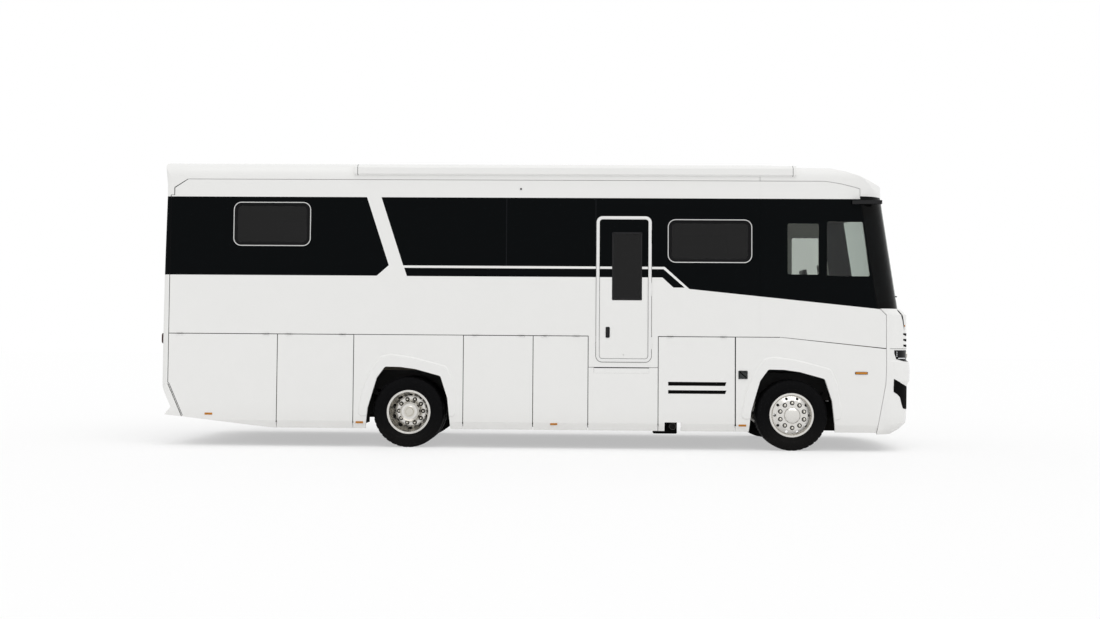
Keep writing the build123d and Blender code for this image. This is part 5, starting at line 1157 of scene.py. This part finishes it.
def plate_on(name, x, foot, holder, plate, edge):
    """A blank plate on its holder, each from its rear to its front along the vehicle."""
    (a, b), (c, d) = holder, plate
    slab(f"{name}_holder", (x + a, -0.275, foot), (x + b, 0.275, foot + 0.130), 0.004, grained_black)
    slab(name, (x + c, -0.260, foot + 0.010), (x + d, 0.260, foot + 0.120), edge, plate_white)


plate_white = road_finish("plate_white", (0.72, 0.72, 0.70), 0.35, Dust=0.2)
bumper_reach = met_from(AHEAD, "front_bumper")
tail_reach = met_from(BEHIND, "rear_mask")
foot_reach = met_from(BEHIND, "rear_bumper")
plate_front = max(bumper_reach(y, z) for y in (-0.25, 0, 0.25) for z in (0.93, 1.03))
plate_rear = max(tail_reach(y, z) for y in (-0.25, 0.25) for z in (0.93, 1.05))
plate_on("front_plate", plate_front, 0.915, (-0.006, 0.006), (0.0055, 0.010), 0.002)
plate_on("rear_plate", plate_rear, 0.925, (-0.010, 0.006), (-0.013, -0.0095), 0.0015)
brake = min(tail_reach(y, 3.62) for y in (-0.30, 0, 0.30))
slab("brake_light", (brake - 0.008, -0.300, 3.604), (brake + 0.020, 0.300, 3.634), 0.004, red_lens)
for side, hand in SIDES:
    back = min(foot_reach(side * y, z) for y in (0.88, 0.98) for z in (0.64, 0.68))
    near, far = sorted((side * 0.88, side * 0.98))
    low, high = (back - 0.004, near, 0.635), (back + 0.030, far, 0.685)
    slab(f"rear_reflector_{hand}", low, high, 0.003, red_lens)

# ---------------------------------------------------------------- awning
# Moulded end caps that stand a little over the extruded cassette, with a dark joint
# between each cap and the cassette.


CASSETTE = (
    # y and z on the section, and the way out of it
    (-1.2504, 3.713, 0.3, -1), (-1.2800, 3.735, -1, -0.6), (-1.2800, 3.817, -1, 0.4),
    (-1.2600, 3.849, -0.7, 0.7), (-1.2280, 3.862, -0.3, 1), (-1.1750, 3.871, 0, 1),
    (-1.1500, 3.871, 0.2, 1),
)
# Centre and radius of the roof's shoulder, and where the section meets it, in degrees
SHOULDER_Y, SHOULDER_Z, SHOULDER_R = -1.050, 3.695, 0.2006
SEAT_ANGLES = (62, 50, 38, 26, 14, 6)


def awning_ring(name, start, end, proud, material):
    """A slice of the cassette's section, swollen by proud, seated on the roof's shoulder."""
    section = [(y + proud * dy, z + proud * dz) for y, z, dy, dz in CASSETTE]
    for angle in SEAT_ANGLES:
        y = SHOULDER_Y - SHOULDER_R * cos(radians(angle))
        section.append((y, SHOULDER_Z + SHOULDER_R * sin(radians(angle))))
    verts = [(AXLE + x, y, z) for x in (start, end) for y, z in section]
    rows = len(section)
    faces = bands(2, rows) + [tuple(range(rows)), tuple(range(rows, 2 * rows))]
    make_piece(name, verts, faces, material, "body")


for label, outer_end, inner_end, joint in (
    ("rear", -5.9690, -5.9270, 0.006), ("front", 0.0510, 0.0090, -0.006),
):
    awning_ring(f"awning_cap_{label}", outer_end, inner_end, 0.002, plain_paint)
    awning_ring(f"awning_joint_{label}", inner_end, inner_end + joint, 0.0008, black_and_shade)

# ---------------------------------------------------------------- roof
# Smoked acrylic roof lights in black frames along the middle of a white roof skin.
roof_acrylic = road_finish("roof_acrylic", (0.045, 0.048, 0.052), 0.2, bump=0.05, Dust=0.2, Coat_Weight=0.4)
dress(roof_acrylic, "roof_hatches")

# ---------------------------------------------------------------- running gear
# Painted ladder frame and springs, cast axles and hubs, and the driveline, all with a
# film of road dust.
frame_paint = road_finish(
    "frame_paint", (0.012, 0.012, 0.013), 0.6, bump=0.3, Dust=0.12, Dust_Height=1.4, Grain_Scale=90,
    Mottle=0.3,
)
cast_iron = road_finish(
    "cast_iron", (0.040, 0.039, 0.038), 0.65, metallic=0.4, bump=0.6, Dust=0.15, Dust_Height=1.4,
    Grain_Scale=140, Mottle=0.4,
)
dress(frame_paint, "chassis_frame", "springs", "exhaust")
dress(cast_iron, "engine", "front_axle", "knuckle_left", "knuckle_right", "track_rod", "rear_axle")

# ---------------------------------------------------------------- cab and living space
# A vinyl plank floor, a grained dashboard, and two leather cab seats on black bases.
vinyl = road_finish("vinyl_floor", (0.20, 0.16, 0.12), 0.5, bump=0.2, Dust=0.0, Grain_Scale=25, Mottle=0.4)
dash_plastic = road_finish("dash_plastic", (0.035, 0.035, 0.037), 0.6, bump=0.5, Dust=0.0, Grain_Scale=420)
leather = road_finish(
    "seat_leather", (0.020, 0.020, 0.021), 0.45, bump=0.6, Dust=0.0, Grain_Scale=330, Mottle=0.2,
    Coat_Weight=0.1,
)
dress(vinyl, "cabin_floor")
dress(dash_plastic, "dashboard")
FLOOR_TOP = 1.450
SEAT_AT = AXLE + 0.600


def seat_pad(name, centre, size, lean, seams):
    """A stuffed pad: crowned faces, sides drawn in between its corners, sewn channels."""
    mesh = bpy.data.meshes.new(name)
    form = bmesh.new()
    bmesh.ops.create_cube(form, size=2)
    bmesh.ops.subdivide_edges(form, edges=form.edges[:], cuts=11, use_grid_fill=True)
    for vert in form.verts:
        u, v, w = vert.co
        crown = 0.62 + 0.38 * (1 - u ** 4) * (1 - v ** 4)
        channel = sum(0.10 * max(0.0, 1 - abs(v - s) / 0.10) for s in seams)
        x = u * (1 - 0.05 * (1 - v * v)) * size[0] / 2
        y = v * (1 - 0.05 * (1 - u * u)) * size[1] / 2
        z = w * (crown - channel) * size[2] / 2
        vert.co = Vector((
            centre[0] + x * cos(lean) - z * sin(lean),
            centre[1] + y,
            centre[2] + x * sin(lean) + z * cos(lean),
        ))
    form.to_mesh(mesh)
    form.free()
    smoothed(mesh).materials.append(leather)
    piece = set_down(name, mesh, "body")
    softer = piece.modifiers.new("softer", "SUBSURF")
    softer.levels = softer.render_levels = 1


UPRIGHT = radians(98)
PADS = (
    # name, ahead of the seat's place, over the floor, size, lean, seams
    ("seat_cushion", 0.235, 0.365, (0.50, 0.48, 0.15), radians(4), (-0.45, 0.45)),
    ("seat_back", -0.010, 0.685, (0.54, 0.47, 0.12), UPRIGHT, (-0.45, 0.45)),
    ("headrest", -0.070, 1.030, (0.17, 0.28, 0.09), UPRIGHT, ()),
)
SEAT_OUT = 0.620
for side, hand in SIDES:
    y = side * SEAT_OUT
    low, high = (SEAT_AT - 0.03, y - 0.22, FLOOR_TOP), (SEAT_AT + 0.37, y + 0.22, FLOOR_TOP + 0.27)
    base = slab(f"seat_base_{hand}", low, high, 0.02, grained_black)
    for name, ahead, rise, size, lean, seams in PADS:
        seat_pad(f"{name}_{hand}", (SEAT_AT + ahead, y, FLOOR_TOP + rise), size, lean, seams)
    if hand == "left":
        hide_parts("seats")
